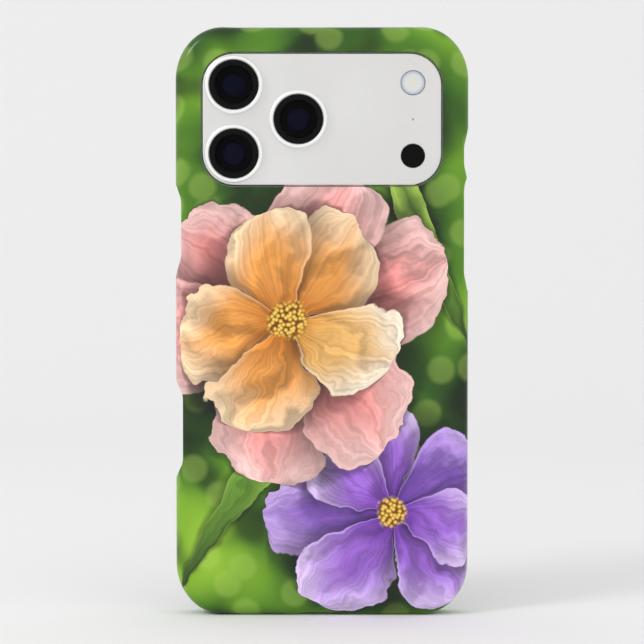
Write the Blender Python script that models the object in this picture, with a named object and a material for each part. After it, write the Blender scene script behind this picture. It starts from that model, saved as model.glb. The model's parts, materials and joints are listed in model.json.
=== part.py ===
"""A smartphone in a printed clip-on case, standing on its lower edge.

+Z runs up the phone and +X to the right of someone who looks at its back.
-Y is the printed back with the cameras, +Y is the screen.
The origin is under the middle of the lower edge.
"""

import math

import bmesh
import bpy
from mathutils import Matrix, Vector

MM = 0.001
GAP = 0.3 * MM
PAST = 3 * MM  # how far a cutter runs past the wall that it cuts

# Case
CASE_W = 83.0 * MM
CASE_H = 167.0 * MM
CASE_WALL = 1.9 * MM
CASE_CORNER_X = 13.3 * MM
CASE_CORNER_Z = 15.0 * MM
TOP_DIP = 0.42 * MM
BACK_ROUND = 3.0 * MM
LIP_ROUND = 0.9 * MM
LIP_RISE = 0.9 * MM
LIP_OVERHANG = 0.9 * MM
WINDOW_CLEARANCE = 0.45 * MM
WINDOW_CHAMFER = 0.45 * MM

# Phone
PHONE_W = 78.2 * MM
PHONE_H = 163.2 * MM
PHONE_T = 8.75 * MM
PHONE_CORNER = 13.0 * MM
FRAME_WALL = 2.0 * MM
BACK_WALL = 1.3 * MM
PLATEAU_RISE = 1.9 * MM
PLATEAU_ROOF = 1.2 * MM
LENS_RISE = 1.9 * MM
PANE_INSET = 1.1 * MM

# Levels along Y, counted from the rearmost face, which is the lens rings' top
LENS_TOP = -(LENS_RISE + PLATEAU_RISE + PHONE_T + LIP_RISE) / 2
PLATEAU_TOP = LENS_TOP + LENS_RISE
BODY_BACK = PLATEAU_TOP + PLATEAU_RISE
BODY_FRONT = BODY_BACK + PHONE_T
LIP_TOP = BODY_FRONT + LIP_RISE
CASE_BACK = BODY_BACK - GAP - CASE_WALL
BODY_MID = (BODY_BACK + BODY_FRONT) / 2
BACK_INSIDE = BODY_BACK + BACK_WALL
POCKET_TOP = PLATEAU_TOP + PLATEAU_ROOF
INNER_PARTS_FRONT = BODY_FRONT - 2.5 * MM

# Places along X and Z
MID_Z = CASE_H / 2
HALF_W = PHONE_W / 2
PHONE_FOOT = MID_Z - PHONE_H / 2
PHONE_HEAD = MID_Z + PHONE_H / 2

# Camera plateau
PLATEAU_Z = 140.8 * MM
PLATEAU_HALF_X = 34.05 * MM
PLATEAU_HALF_Z = 18.85 * MM
PLATEAU_CORNER = 9.3 * MM
PLATEAU_EDGE = 0.8 * MM
CAMERAS = {
    "ultrawide": (-24.9 * MM, PLATEAU_Z + 9.7 * MM),
    "wide": (-24.9 * MM, PLATEAU_Z - 9.7 * MM),
    "tele": (-6.65 * MM, PLATEAU_Z),
}
RING_R = 8.2 * MM
RING_BORE_R = 7.15 * MM
SPIGOT_R = 7.4 * MM
GLASS_R = 7.0 * MM
BARREL_R = 5.8 * MM
BARREL_END = -1.2 * MM
HOUSING_HALF = 6.9 * MM
SENSOR_X = 25.7 * MM
FLASH_Z = PLATEAU_Z + 10.3 * MM
LIDAR_Z = PLATEAU_Z - 10.3 * MM
FLASH_R = 3.4 * MM
LIDAR_R = 3.35 * MM
MIC_R = 0.35 * MM
SENSOR_HALF = 3.5 * MM

# Buttons: middle height, length and side of the phone
BUTTON_WIDTH = 2.9 * MM
BUTTON_PROUD = 0.3 * MM
BUTTON_CLEARANCE = 0.25 * MM
BUTTON_TRAVEL = 0.3 * MM
FLANGE_T = 0.5 * MM
FLANGE_FACE = HALF_W - FRAME_WALL - 0.35 * MM
BUTTONS = {
    "action_button": (130.45 * MM, 7.0 * MM, 1),
    "volume_up_button": (116.0 * MM, 10.5 * MM, 1),
    "volume_down_button": (103.2 * MM, 10.5 * MM, 1),
    "side_button": (110.1 * MM, 17.0 * MM, -1),
    "camera_control": (53.2 * MM, 17.0 * MM, -1),
}

# The case's finger notches: the heights where each begins, where its floor begins and
# ends, and where it ends, then its depth and the side
NOTCHES = {
    "action_notch": (124.7 * MM, 127.7 * MM, 133.2 * MM, 136.8 * MM, 1.3 * MM, 1),
    "volume_notch": (93.6 * MM, 96.9 * MM, 121.6 * MM, 124.5 * MM, 1.25 * MM, 1),
    "side_notch": (97.4 * MM, 101.7 * MM, 118.5 * MM, 121.7 * MM, 1.65 * MM, -1),
    "control_notch": (39.3 * MM, 43.6 * MM, 62.8 * MM, 66.6 * MM, 2.05 * MM, -1),
}

# Lower edge
PORT_NOTCH_HALF = 7.4 * MM
PORT_NOTCH_FLAT = 4.65 * MM
PORT_NOTCH_DEPTH = 0.8 * MM
PORT_HALF_X = 4.45 * MM
PORT_HALF_Y = 1.6 * MM
PORT_WALL = 0.35 * MM
PORT_TOP = 9.2 * MM
SPEAKER_HOLES_X = [12.0 * MM + 2.5 * MM * i for i in range(5)]
SPEAKER_HOLE_R = 0.8 * MM
SOUND_SLOT_X = (10.6 * MM, 23.4 * MM)
SOUND_SLOT_HALF = 1.4 * MM
FOOT_SCREW_X = 7.7 * MM

# Rear glass and the charging parts in front of it
REAR_GLASS_HALF_X = 33.0 * MM
REAR_GLASS_Z = (12.3 * MM, 115.7 * MM)
REAR_LEDGE = 3.5 * MM
COIL_Z = 66.0 * MM
MAGNETS = 18

# Board and brackets
BOARD = ((4.2 * MM, 34.0 * MM), (123.5 * MM, 158.5 * MM))
BOARD_BACK = 0.4 * MM
BOARD_FRONT = BOARD_BACK + 0.7 * MM
BOSSES = [(x * MM, z * MM) for x in (6.6, 30.4) for z in (125.7, 155.6)]
BRACKET = ((-35.8 * MM, 2.8 * MM), (119.4 * MM, 159.4 * MM))
BRACKET_SCREWS = [(-30.0 * MM, 121.3 * MM), (-1.5 * MM, 121.3 * MM), (-12.8 * MM, 154.5 * MM)]
BOSS_R = 1.5 * MM

CIRCLE_STEPS = 30
SMALL_STEPS = 12


def clear_scene():
    for obj in list(bpy.data.objects):
        bpy.data.objects.remove(obj)


def finish_of(name, colour, roughness, metallic=0.0):
    """A Principled material. The colour is linear red, green and blue."""
    made = bpy.data.materials.new(name)
    made.use_nodes = True
    shader = made.node_tree.nodes["Principled BSDF"]
    shader.inputs["Base Color"].default_value = (*colour, 1.0)
    shader.inputs["Roughness"].default_value = roughness
    shader.inputs["Metallic"].default_value = metallic
    return made


# ---- outlines, as lists of (x, z) points, anticlockwise ----


def rounded(x0, x1, z0, z1, radius, steps=6):
    """A rectangle with round corners."""
    centres = [(x1 - radius, z1 - radius), (x0 + radius, z1 - radius),
               (x0 + radius, z0 + radius), (x1 - radius, z0 + radius)]
    points = []
    for quarter, (cx, cz) in enumerate(centres):
        for i in range(steps + 1):
            angle = math.pi / 2 * (quarter + i / steps)
            points.append((cx + radius * math.cos(angle), cz + radius * math.sin(angle)))
    return points


def about(half_x, half_z, radius, middle_z=MID_Z, steps=6):
    """A rounded rectangle about the phone's middle line."""
    return rounded(-half_x, half_x, middle_z - half_z, middle_z + half_z, radius, steps)


def inset_from_phone(inset):
    """The phone's outline, drawn `inset` further in."""
    return about(HALF_W - inset, PHONE_H / 2 - inset, PHONE_CORNER - inset)


def slot(x0, x1, z0, z1, steps=5):
    """A rectangle whose shorter sides are half circles."""
    radius = min(x1 - x0, z1 - z0) / 2 * 0.999
    return rounded(x0, x1, z0, z1, radius, steps)


def case_outline(steps=8, dip_steps=6):
    """The case from behind: elliptical corners, and an upper end that dips in its middle."""
    flat_x = CASE_W / 2 - CASE_CORNER_X
    flat_z = CASE_H / 2 - CASE_CORNER_Z
    corner = [(flat_x + CASE_CORNER_X * math.cos(math.pi / 2 * i / steps),
               flat_z + CASE_CORNER_Z * math.sin(math.pi / 2 * i / steps)) for i in range(steps + 1)]
    top = []
    for i in range(1, dip_steps):
        x = flat_x * (1 - 2 * i / dip_steps)
        top.append((x, CASE_H / 2 - TOP_DIP * (1 - (x / flat_x) ** 2)))
    upper_left = [(-x, z) for x, z in reversed(corner)]
    lower_left = [(-x, -z) for x, z in corner]
    lower_right = [(x, -z) for x, z in reversed(corner)]
    return [(x, z + MID_Z) for x, z in corner + top + upper_left + lower_left + lower_right]


# ---- meshes ----


def turned_to(bm, axis):
    """Turns a mesh made along Y so that it runs along X or Z instead."""
    swap = {"Y": ((1, 0, 0), (0, 1, 0), (0, 0, 1)),
            "X": ((0, 1, 0), (1, 0, 0), (0, 0, 1)),
            "Z": ((1, 0, 0), (0, 0, 1), (0, 1, 0))}[axis]
    bmesh.ops.transform(bm, matrix=Matrix(swap).to_4x4(), verts=bm.verts)
    bmesh.ops.recalc_face_normals(bm, faces=bm.faces)
    return bm


def slab(outline, y0, y1, rear_round=0.0, front_round=0.0, steps=2, axis="Y"):
    """The outline extruded from y0 to y1, its rear and front edges rounded."""
    bm = bmesh.new()
    rear = bm.faces.new([bm.verts.new((x, y0, z)) for x, z in outline])
    grown = bmesh.ops.extrude_face_region(bm, geom=[rear])
    raised = [v for v in grown["geom"] if isinstance(v, bmesh.types.BMVert)]
    bmesh.ops.translate(bm, vec=(0, y1 - y0, 0), verts=raised)
    bmesh.ops.recalc_face_normals(bm, faces=bm.faces)
    for level, radius in ((y0, rear_round), (y1, front_round)):
        if radius:
            rim = [e for e in bm.edges if all(abs(v.co.y - level) < 1e-7 for v in e.verts)]
            bmesh.ops.bevel(bm, geom=rim, offset=radius, segments=steps, profile=0.5, affect="EDGES")
    return turned_to(bm, axis)


def block(x0, x1, y0, y1, z0, z1, edge=0.0):
    """A box, its edges along Y rounded by `edge`."""
    square = [(x1, z1), (x0, z1), (x0, z0), (x1, z0)]
    return slab(rounded(x0, x1, z0, z1, edge, 2) if edge else square, y0, y1)


def spun(x, z, profile, steps=CIRCLE_STEPS):
    """A closed profile of (radius, y) points turned about an axis along Y through (x, z)."""
    bm = bmesh.new()
    corners = [bm.verts.new((radius, y, 0)) for radius, y in profile]
    meets_axis = profile[0][0] == 0 and profile[-1][0] == 0
    ends = zip(corners, corners[1:]) if meets_axis else zip(corners, corners[1:] + corners[:1])
    edges = [bm.edges.new(pair) for pair in ends]
    bmesh.ops.spin(bm, geom=corners + edges, cent=(0, 0, 0), axis=(0, 1, 0),
                   angle=2 * math.pi, steps=steps, use_merge=True)
    bmesh.ops.remove_doubles(bm, verts=bm.verts, dist=1e-6)
    bmesh.ops.translate(bm, vec=(x, 0, z), verts=bm.verts)
    bmesh.ops.recalc_face_normals(bm, faces=bm.faces)
    return bm


def pin(x, z, radius, y0, y1, steps=SMALL_STEPS, axis="Y"):
    """A plain round bar, or the cutter for a round hole."""
    circle = [(x + radius * math.cos(2 * math.pi * i / steps),
               z + radius * math.sin(2 * math.pi * i / steps)) for i in range(steps)]
    return slab(circle, y0, y1, axis=axis)


def screw(x, z, head_front, head_r, shank_r, tip, head_t=0.4 * MM):
    """A pan-head screw driven towards -Y, from the front of its head to its tip."""
    under_head = head_front - head_t
    profile = [(0, tip), (shank_r, tip), (shank_r, under_head),
               (head_r, under_head), (head_r, head_front), (0, head_front)]
    return spun(x, z, profile, SMALL_STEPS)


def strip(x0, x1, route, thickness):
    """A flex cable along (y, z) points, `thickness` thick along Y."""
    outline = route + [(y + thickness, z) for y, z in reversed(route)]
    return slab(outline, x0, x1, axis="X")


def loft(levels):
    """A solid through outlines of as many points each, given as (y, outline)."""
    bm = bmesh.new()
    loops = [[bm.verts.new((x, y, z)) for x, z in outline] for y, outline in levels]
    for lower, upper in zip(loops, loops[1:]):
        for i in range(len(lower)):
            bm.faces.new((lower[i - 1], lower[i], upper[i], upper[i - 1]))
    bm.faces.new(loops[0])
    bm.faces.new(reversed(loops[-1]))
    bmesh.ops.recalc_face_normals(bm, faces=bm.faces)
    return bm


# ---- objects ----


def place(name, meshes, finish, parent=None):
    """One object from one or more meshes in the parent's coordinates."""
    data = bpy.data.meshes.new(name)
    whole = bmesh.new()
    for bm in meshes if isinstance(meshes, list) else [meshes]:
        bm.to_mesh(data)
        whole.from_mesh(data)
        bm.free()
    whole.to_mesh(data)
    whole.free()
    data.shade_smooth()
    data.set_sharp_from_angle(angle=math.radians(35))
    obj = bpy.data.objects.new(name, data)
    obj.parent = parent
    if finish:
        data.materials.append(finish)
    bpy.context.scene.collection.objects.link(obj)
    return obj


def group(name, parent=None, location=(0, 0, 0)):
    """An empty that other objects hang from."""
    empty = bpy.data.objects.new(name, None)
    empty.location = location
    empty.parent = parent
    bpy.context.scene.collection.objects.link(empty)
    return empty


def change(obj, operation, name, meshes):
    """Cuts the meshes from obj, or joins them to it, with a Boolean and a hidden tool."""
    tool = place(name, meshes, None, obj.parent)
    tool.hide_render = True
    tool.display_type = "WIRE"
    boolean = obj.modifiers.new(name, "BOOLEAN")
    boolean.operation = operation
    boolean.object = tool


def cut(obj, name, meshes):
    change(obj, "DIFFERENCE", name, meshes)


def join(obj, name, meshes):
    change(obj, "UNION", name, meshes)


# ---- the case ----


def notch_levels(outline_at, floor, wall):
    """A notch runs straight in as far as its floor at the back, then slants in to the
    phone's wall, and stays open towards the screen."""
    return loft([(CASE_BACK - PAST, outline_at(floor)), (CASE_BACK + 0.35 * MM, outline_at(floor)),
                 (BODY_BACK - GAP, outline_at(wall)), (LIP_TOP + PAST, outline_at(wall))])


def side_notch(start, flat_start, flat_end, end, depth, side):
    """A finger notch in a long side, with ramps at both ends."""
    outside = CASE_W / 2 + PAST

    def outline_at(floor):
        reach = (outside - floor) / (CASE_W / 2 - floor)
        low = flat_start - (flat_start - start) * reach
        high = flat_end + (end - flat_end) * reach
        points = [(outside, high), (floor, flat_end), (floor, flat_start), (outside, low)]
        return [(side * x, z) for x, z in points]

    return notch_levels(outline_at, CASE_W / 2 - depth, HALF_W + GAP / 3)


def port_notch():
    """The notch in the lower edge that bares the socket."""
    def outline_at(floor):
        low_half = PORT_NOTCH_FLAT + (PORT_NOTCH_HALF - PORT_NOTCH_FLAT) * (floor + PAST) / floor
        return [(PORT_NOTCH_FLAT, floor), (-PORT_NOTCH_FLAT, floor), (-low_half, -PAST), (low_half, -PAST)]

    return notch_levels(outline_at, PORT_NOTCH_DEPTH, PHONE_FOOT - GAP / 3)


def camera_window():
    """The window round the plateau, with a small chamfer at the back."""
    half_x = PLATEAU_HALF_X + WINDOW_CLEARANCE
    half_z = PLATEAU_HALF_Z + WINDOW_CLEARANCE
    corner = PLATEAU_CORNER + WINDOW_CLEARANCE
    wider = WINDOW_CHAMFER
    narrow = about(half_x, half_z, corner, PLATEAU_Z)
    wide = about(half_x + wider, half_z + wider, corner + wider, PLATEAU_Z)
    return loft([(CASE_BACK - wider, wide), (CASE_BACK, wide),
                 (CASE_BACK + wider, narrow), (BODY_MID, narrow)])


def make_case(plastic):
    shell = slab(case_outline(), CASE_BACK, LIP_TOP, BACK_ROUND, LIP_ROUND, 4)
    case = place("printed_case", shell, plastic)
    cut(case, "phone_space", slab(inset_from_phone(-GAP), BODY_BACK - GAP, BODY_FRONT + GAP / 2))
    cut(case, "screen_opening", slab(inset_from_phone(LIP_OVERHANG), BODY_MID, LIP_TOP + PAST))
    cut(case, "camera_window", camera_window())
    for name, facts in NOTCHES.items():
        cut(case, name, side_notch(*facts))
    cut(case, "port_notch", port_notch())
    low, high = BODY_MID - SOUND_SLOT_HALF, BODY_MID + SOUND_SLOT_HALF
    near, far = SOUND_SLOT_X
    slots = [slab(slot(*ends, low, high, 3), -PAST, PHONE_FOOT, axis="Z")
             for ends in ((-far, -near), (near, far))]
    cut(case, "sound_slots", slots)


# ---- the phone's housing ----


def button_hole(middle, length, side):
    reach = BUTTON_WIDTH / 2 + BUTTON_CLEARANCE
    half = length / 2 + BUTTON_CLEARANCE
    outline = slot(BODY_MID - reach, BODY_MID + reach, middle - half, middle + half, 4)
    return slab(outline, *sorted((side * (HALF_W - FRAME_WALL - PAST), side * (HALF_W + PAST))), axis="X")


def plateau_holes():
    deepest = BACK_INSIDE - 0.5 * MM
    above = PLATEAU_TOP - PAST
    holes = [pin(x, z, SPIGOT_R + GAP, above, deepest, CIRCLE_STEPS) for x, z in CAMERAS.values()]
    holes.append(pin(SENSOR_X, FLASH_Z, FLASH_R + 0.2 * MM, above, deepest, 24))
    holes.append(pin(SENSOR_X, LIDAR_Z, LIDAR_R + 0.2 * MM, above, deepest, 24))
    holes.append(pin(SENSOR_X, PLATEAU_Z, MIC_R, above, deepest, 8))
    return holes


def foot_holes():
    """The holes in the lower edge: sound holes, two screws and the socket."""
    ends = PHONE_FOOT - PAST, PHONE_FOOT + FRAME_WALL + PAST
    holes = []
    for side in (-1, 1):
        holes += [pin(side * x, BODY_MID, SPEAKER_HOLE_R, *ends, 10, "Z") for x in SPEAKER_HOLES_X]
        holes.append(pin(side * FOOT_SCREW_X, BODY_MID, 1.0 * MM, *ends, 10, "Z"))
    half_x = PORT_HALF_X + 0.25 * MM
    half_y = PORT_HALF_Y + 0.25 * MM
    holes.append(slab(slot(-half_x, half_x, BODY_MID - half_y, BODY_MID + half_y), *ends, axis="Z"))
    return holes


def make_frame(parent, aluminium):
    """The unibody: a tray with a camera plateau on its back, open towards the screen."""
    body = slab(inset_from_phone(0), BODY_BACK, BODY_FRONT, 1.2 * MM, 0.7 * MM)
    frame = place("frame", body, aluminium, parent)
    plateau = about(PLATEAU_HALF_X, PLATEAU_HALF_Z, PLATEAU_CORNER, PLATEAU_Z)
    join(frame, "plateau", slab(plateau, PLATEAU_TOP, BACK_INSIDE - 0.3 * MM, PLATEAU_EDGE))
    room = inset_from_phone(FRAME_WALL)
    ledge = inset_from_phone(0.8 * MM)
    ledge_y = BODY_FRONT - 1.6 * MM
    cut(frame, "inner_space",
        loft([(BACK_INSIDE, room), (ledge_y, room), (ledge_y, ledge), (BODY_FRONT + PAST, ledge)]))
    pocket = about(PLATEAU_HALF_X - 1.5 * MM, PLATEAU_HALF_Z - 1.6 * MM, 2.5 * MM, PLATEAU_Z)
    cut(frame, "plateau_pocket", slab(pocket, POCKET_TOP, BACK_INSIDE + 0.5 * MM))
    x, (low, high) = REAR_GLASS_HALF_X, REAR_GLASS_Z
    recess = rounded(-x - GAP, x + GAP, low - GAP, high + GAP, 6.3 * MM, 4)
    cut(frame, "rear_recess", slab(recess, BODY_BACK - PAST, BODY_BACK + 0.8 * MM))
    x, low, high = x - REAR_LEDGE, low + REAR_LEDGE, high - REAR_LEDGE
    window = rounded(-x, x, low, high, 3 * MM, 3)
    cut(frame, "rear_window", slab(window, BODY_BACK - PAST, BACK_INSIDE + 0.5 * MM))
    cut(frame, "plateau_holes", plateau_holes())
    cut(frame, "button_holes", [button_hole(*facts) for facts in BUTTONS.values()])
    cut(frame, "foot_holes", foot_holes())
    bosses = [pin(*spot, BOSS_R, POCKET_TOP - 0.4 * MM, BOARD_BACK - GAP) for spot in BOSSES]
    bosses.append(pin(*BRACKET_SCREWS[-1], BOSS_R, POCKET_TOP - 0.4 * MM, BACK_INSIDE))
    join(frame, "bosses", bosses)
    threads = [pin(*spot, 0.75 * MM, POCKET_TOP + 0.3 * MM, BOARD_BACK + PAST, 8) for spot in BOSSES]
    threads += [pin(*spot, 0.65 * MM, BODY_BACK + 0.4 * MM, BACK_INSIDE + PAST, 8) for spot in BRACKET_SCREWS]
    cut(frame, "threads", threads)


def make_panes(parent, finishes):
    glass = finishes["glass"]
    outline = inset_from_phone(PANE_INSET)
    front = place("front_glass", slab(outline, BODY_FRONT - 0.8 * MM, BODY_FRONT, 0, 0.3 * MM), glass, parent)
    slit_z = PHONE_HEAD - 2.1 * MM
    slit = slot(-7.3 * MM, 7.3 * MM, slit_z - 0.5 * MM, slit_z + 0.5 * MM, 3)
    cut(front, "earpiece_slit", slab(slit, BODY_FRONT - PAST, BODY_FRONT + PAST))
    grille = slot(-7.1 * MM, 7.1 * MM, slit_z - 0.3 * MM, slit_z + 0.3 * MM, 3)
    place("earpiece_grille", slab(grille, BODY_FRONT - 0.7 * MM, BODY_FRONT - 0.15 * MM),
          finishes["black"], parent)
    place("display_panel", slab(inset_from_phone(2.5 * MM), BODY_FRONT - 2.2 * MM, BODY_FRONT - 1.0 * MM),
          finishes["display"], parent)
    ring = place("display_gasket", slab(outline, BODY_FRONT - 1.4 * MM, BODY_FRONT - 1.0 * MM),
                 finishes["rubber"], parent)
    cut(ring, "gasket_inside", slab(inset_from_phone(2.2 * MM), BODY_BACK, BODY_FRONT))
    x, (low, high) = REAR_GLASS_HALF_X, REAR_GLASS_Z
    place("rear_glass", slab(rounded(-x, x, low, high, 6 * MM, 4), BODY_BACK, BODY_BACK + 0.5 * MM),
          glass, parent)


# ---- cameras and sensors ----


def ring_profile():
    """A ring with a rounded crown, a bore for the glass and a spigot that sits in the plateau."""
    crown = LENS_TOP + 0.08 * MM
    foot = PLATEAU_TOP - 0.05 * MM
    seat = LENS_TOP + 1.05 * MM
    spigot_end = PLATEAU_TOP + 1.1 * MM
    stop_r = BARREL_R + 0.5 * MM
    return [(RING_BORE_R, crown), (RING_BORE_R + 0.4 * MM, LENS_TOP), (RING_R - 0.3 * MM, crown),
            (RING_R, LENS_TOP + 0.5 * MM), (RING_R, foot), (SPIGOT_R, foot), (SPIGOT_R, spigot_end),
            (stop_r, spigot_end), (stop_r, seat), (RING_BORE_R, seat)]


def make_camera(name, x, z, parent, finishes):
    """A metal ring set in the plateau, its cover glass, the lens barrel and its housing."""
    place(f"{name}_ring", spun(x, z, ring_profile()), finishes["ring"], parent)
    top, bottom = LENS_TOP + 0.15 * MM, LENS_TOP + 0.75 * MM
    cover = [(0, top), (GLASS_R - 0.15 * MM, top), (GLASS_R, top + 0.15 * MM), (GLASS_R, bottom), (0, bottom)]
    place(f"{name}_cover_glass", spun(x, z, cover), finishes["glass"], parent)
    rim = LENS_TOP + 1.35 * MM
    barrel = [(0, rim + 0.5 * MM), (2.6 * MM, rim + 0.7 * MM), (3.4 * MM, rim + 0.3 * MM),
              (BARREL_R, rim), (BARREL_R, BARREL_END), (0, BARREL_END)]
    place(f"{name}_barrel", spun(x, z, barrel, 24), finishes["black"], parent)
    half = HOUSING_HALF
    box = block(x - half, x + half, POCKET_TOP + 0.2 * MM, INNER_PARTS_FRONT - 0.2 * MM,
                z - half, z + half, 1 * MM)
    housing = place(f"{name}_housing", box, finishes["steel"], parent)
    cut(housing, f"{name}_bore", pin(x, z, BARREL_R + GAP, POCKET_TOP - PAST, BARREL_END + GAP, 24))


def make_sensors(parent, finishes):
    """The flash, the depth sensor and the microphone, each behind its hole in the plateau."""
    crown = PLATEAU_TOP - 0.05 * MM
    lens = [(0, crown), (FLASH_R - 0.5 * MM, crown), (FLASH_R, PLATEAU_TOP + 0.1 * MM),
            (FLASH_R, POCKET_TOP - 0.1 * MM), (0, POCKET_TOP - 0.1 * MM)]
    place("flash_lens", spun(SENSOR_X, FLASH_Z, lens, 24), finishes["lens"], parent)
    window = pin(SENSOR_X, LIDAR_Z, LIDAR_R, PLATEAU_TOP + 0.02 * MM, POCKET_TOP - 0.3 * MM, 24)
    place("lidar_window", window, finishes["glass"], parent)
    x0, x1 = SENSOR_X - SENSOR_HALF, SENSOR_X + SENSOR_HALF
    under = POCKET_TOP + GAP
    place("flash_board", block(x0, x1, under, under + 0.8 * MM, FLASH_Z - SENSOR_HALF, FLASH_Z + SENSOR_HALF),
          finishes["board"], parent)
    place("lidar_module",
          block(x0, x1, under, BOARD_BACK - GAP, LIDAR_Z - SENSOR_HALF, LIDAR_Z + SENSOR_HALF, 0.5 * MM),
          finishes["steel"], parent)
    half_x, half_z = 2 * MM, 1.5 * MM
    microphone = block(SENSOR_X - half_x, SENSOR_X + half_x, under, under + 1.1 * MM,
                       PLATEAU_Z - half_z, PLATEAU_Z + half_z)
    place("rear_microphone", microphone, finishes["steel"], parent)


def make_head_parts(parent, finishes):
    """The front camera and the earpiece along the upper edge."""
    top = PHONE_HEAD - FRAME_WALL - GAP
    bottom = top - 3.6 * MM
    back = 0.2 * MM
    for name, x0, x1 in (("front_camera", -12 * MM, 12 * MM), ("earpiece_speaker", -27 * MM, -13 * MM)):
        place(name, block(x0, x1, back, INNER_PARTS_FRONT, bottom, top, 0.6 * MM), finishes["black"], parent)


def make_bracket(parent, finishes):
    """The plate that holds the three cameras down, and its screws."""
    (x0, x1), (z0, z1) = BRACKET
    plate = slab(rounded(x0, x1, z0, z1, 4.5 * MM, 3), BACK_INSIDE + 0.3 * MM, BACK_INSIDE + 0.9 * MM)
    bracket = place("camera_bracket", plate, finishes["steel"], parent)
    reach = HOUSING_HALF + GAP
    openings = [block(x - reach, x + reach, -PAST, PAST, z - reach, z + reach) for x, z in CAMERAS.values()]
    openings += [pin(*spot, 0.7 * MM, -PAST, PAST, 8) for spot in BRACKET_SCREWS]
    cut(bracket, "bracket_openings", openings)
    for i, spot in enumerate(BRACKET_SCREWS, 1):
        fastener = screw(*spot, BACK_INSIDE + 1.6 * MM, 1.05 * MM, 0.45 * MM, BODY_BACK + 0.7 * MM)
        place(f"bracket_screw_{i}", fastener, finishes["steel"], parent)


# ---- electronics ----


def make_board(parent, finishes):
    (x0, x1), (z0, z1) = BOARD
    laminate = block(x0, x1, BOARD_BACK, BOARD_FRONT, z0, z1, 1 * MM)
    board = place("logic_board", laminate, finishes["board"], parent)
    cut(board, "board_holes", [pin(*spot, 0.8 * MM, 0, BOARD_FRONT + PAST, 8) for spot in BOSSES])
    for i, spot in enumerate(BOSSES, 1):
        fastener = screw(*spot, BOARD_FRONT + 0.7 * MM, 1.2 * MM, 0.5 * MM, POCKET_TOP + 0.8 * MM)
        place(f"board_screw_{i}", fastener, finishes["steel"], parent)
    place("processor", block(9 * MM, 21 * MM, -0.9 * MM, BOARD_BACK - GAP, 129 * MM, 141 * MM),
          finishes["black"], parent)
    shield = block(9.5 * MM, 28 * MM, BOARD_FRONT + 0.2 * MM, BOARD_FRONT + 1.2 * MM,
                   128.5 * MM, 153.5 * MM, 1 * MM)
    place("board_shield", shield, finishes["steel"], parent)
    spreader = block(x0 + 0.5 * MM, x1 - 0.5 * MM, BOARD_FRONT + 1.5 * MM, BOARD_FRONT + 1.9 * MM,
                     z0 + 1 * MM, z1 - 1 * MM, 1.5 * MM)
    place("heat_spreader", spreader, finishes["copper"], parent)


def make_battery(parent, finishes):
    outline = rounded(-34.4 * MM, 28.2 * MM, 24.6 * MM, 117 * MM, 2 * MM, 3)
    cell = slab(outline, BACK_INSIDE + 0.25 * MM, INNER_PARTS_FRONT - 0.1 * MM, 0.5 * MM, 0.5 * MM, 1)
    place("battery", cell, finishes["cell"], parent)
    place("battery_tab", block(10 * MM, 18 * MM, 0.5 * MM, 0.7 * MM, 117.3 * MM, 123.2 * MM),
          finishes["flex"], parent)


def make_flexes(parent, finishes):
    """The display's flex, and the one that goes from the socket to the board."""
    front = INNER_PARTS_FRONT - 0.25 * MM
    route = [(front, 118.0 * MM), (front, 121.4 * MM), (1.3 * MM, 122.6 * MM), (1.3 * MM, 123.2 * MM)]
    place("display_flex", strip(20 * MM, 30 * MM, route, 0.15 * MM), finishes["flex"], parent)
    path = [(4, 9.6), (4, 20.3), (34, 20.3), (34, 122.6),
            (29.6, 122.6), (29.6, 23.8), (-4, 23.8), (-4, 9.6)]
    outline = [(x * MM, z * MM) for x, z in path]
    place("port_flex", slab(outline, 0.9 * MM, 1.1 * MM), finishes["flex"], parent)


def make_foot_parts(parent, finishes):
    """The loudspeaker, the vibration motor, the socket and the two screws beside it."""
    low, high = PHONE_FOOT + FRAME_WALL + 1.0 * MM, 19.5 * MM
    width = 24.5 * MM
    for name, x, back, finish in (("loudspeaker", 9.5 * MM, BACK_INSIDE + 0.3 * MM, "black"),
                                  ("haptic_motor", -34.0 * MM, -0.4 * MM, "steel")):
        body = slab(rounded(x, x + width, low, high, 6 * MM, 4), back, INNER_PARTS_FRONT - 0.1 * MM,
                    0.4 * MM, 0.4 * MM, 1)
        place(name, body, finishes[finish], parent)
    mouth = PHONE_FOOT + 0.1 * MM
    x, y = PORT_HALF_X, PORT_HALF_Y
    shell = place("port_shell", slab(slot(-x, x, BODY_MID - y, BODY_MID + y), mouth, PORT_TOP, axis="Z"),
                  finishes["steel"], parent)
    x, y = x - PORT_WALL, y - PORT_WALL
    bore = slot(-x, x, BODY_MID - y, BODY_MID + y)
    cut(shell, "port_bore", slab(bore, mouth - PAST, PORT_TOP - 0.5 * MM, axis="Z"))
    x, y = 3.35 * MM, 0.35 * MM
    tongue = rounded(-x, x, BODY_MID - y, BODY_MID + y, 0.2 * MM, 1)
    place("port_tongue", slab(tongue, mouth + 0.6 * MM, PORT_TOP - 0.8 * MM, axis="Z"),
          finishes["black"], parent)
    for i, side in enumerate((-1, 1), 1):
        fastener = pin(side * FOOT_SCREW_X, BODY_MID, 0.75 * MM, mouth, mouth + 3 * MM, 10, "Z")
        place(f"foot_screw_{i}", fastener, finishes["steel"], parent)


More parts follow.
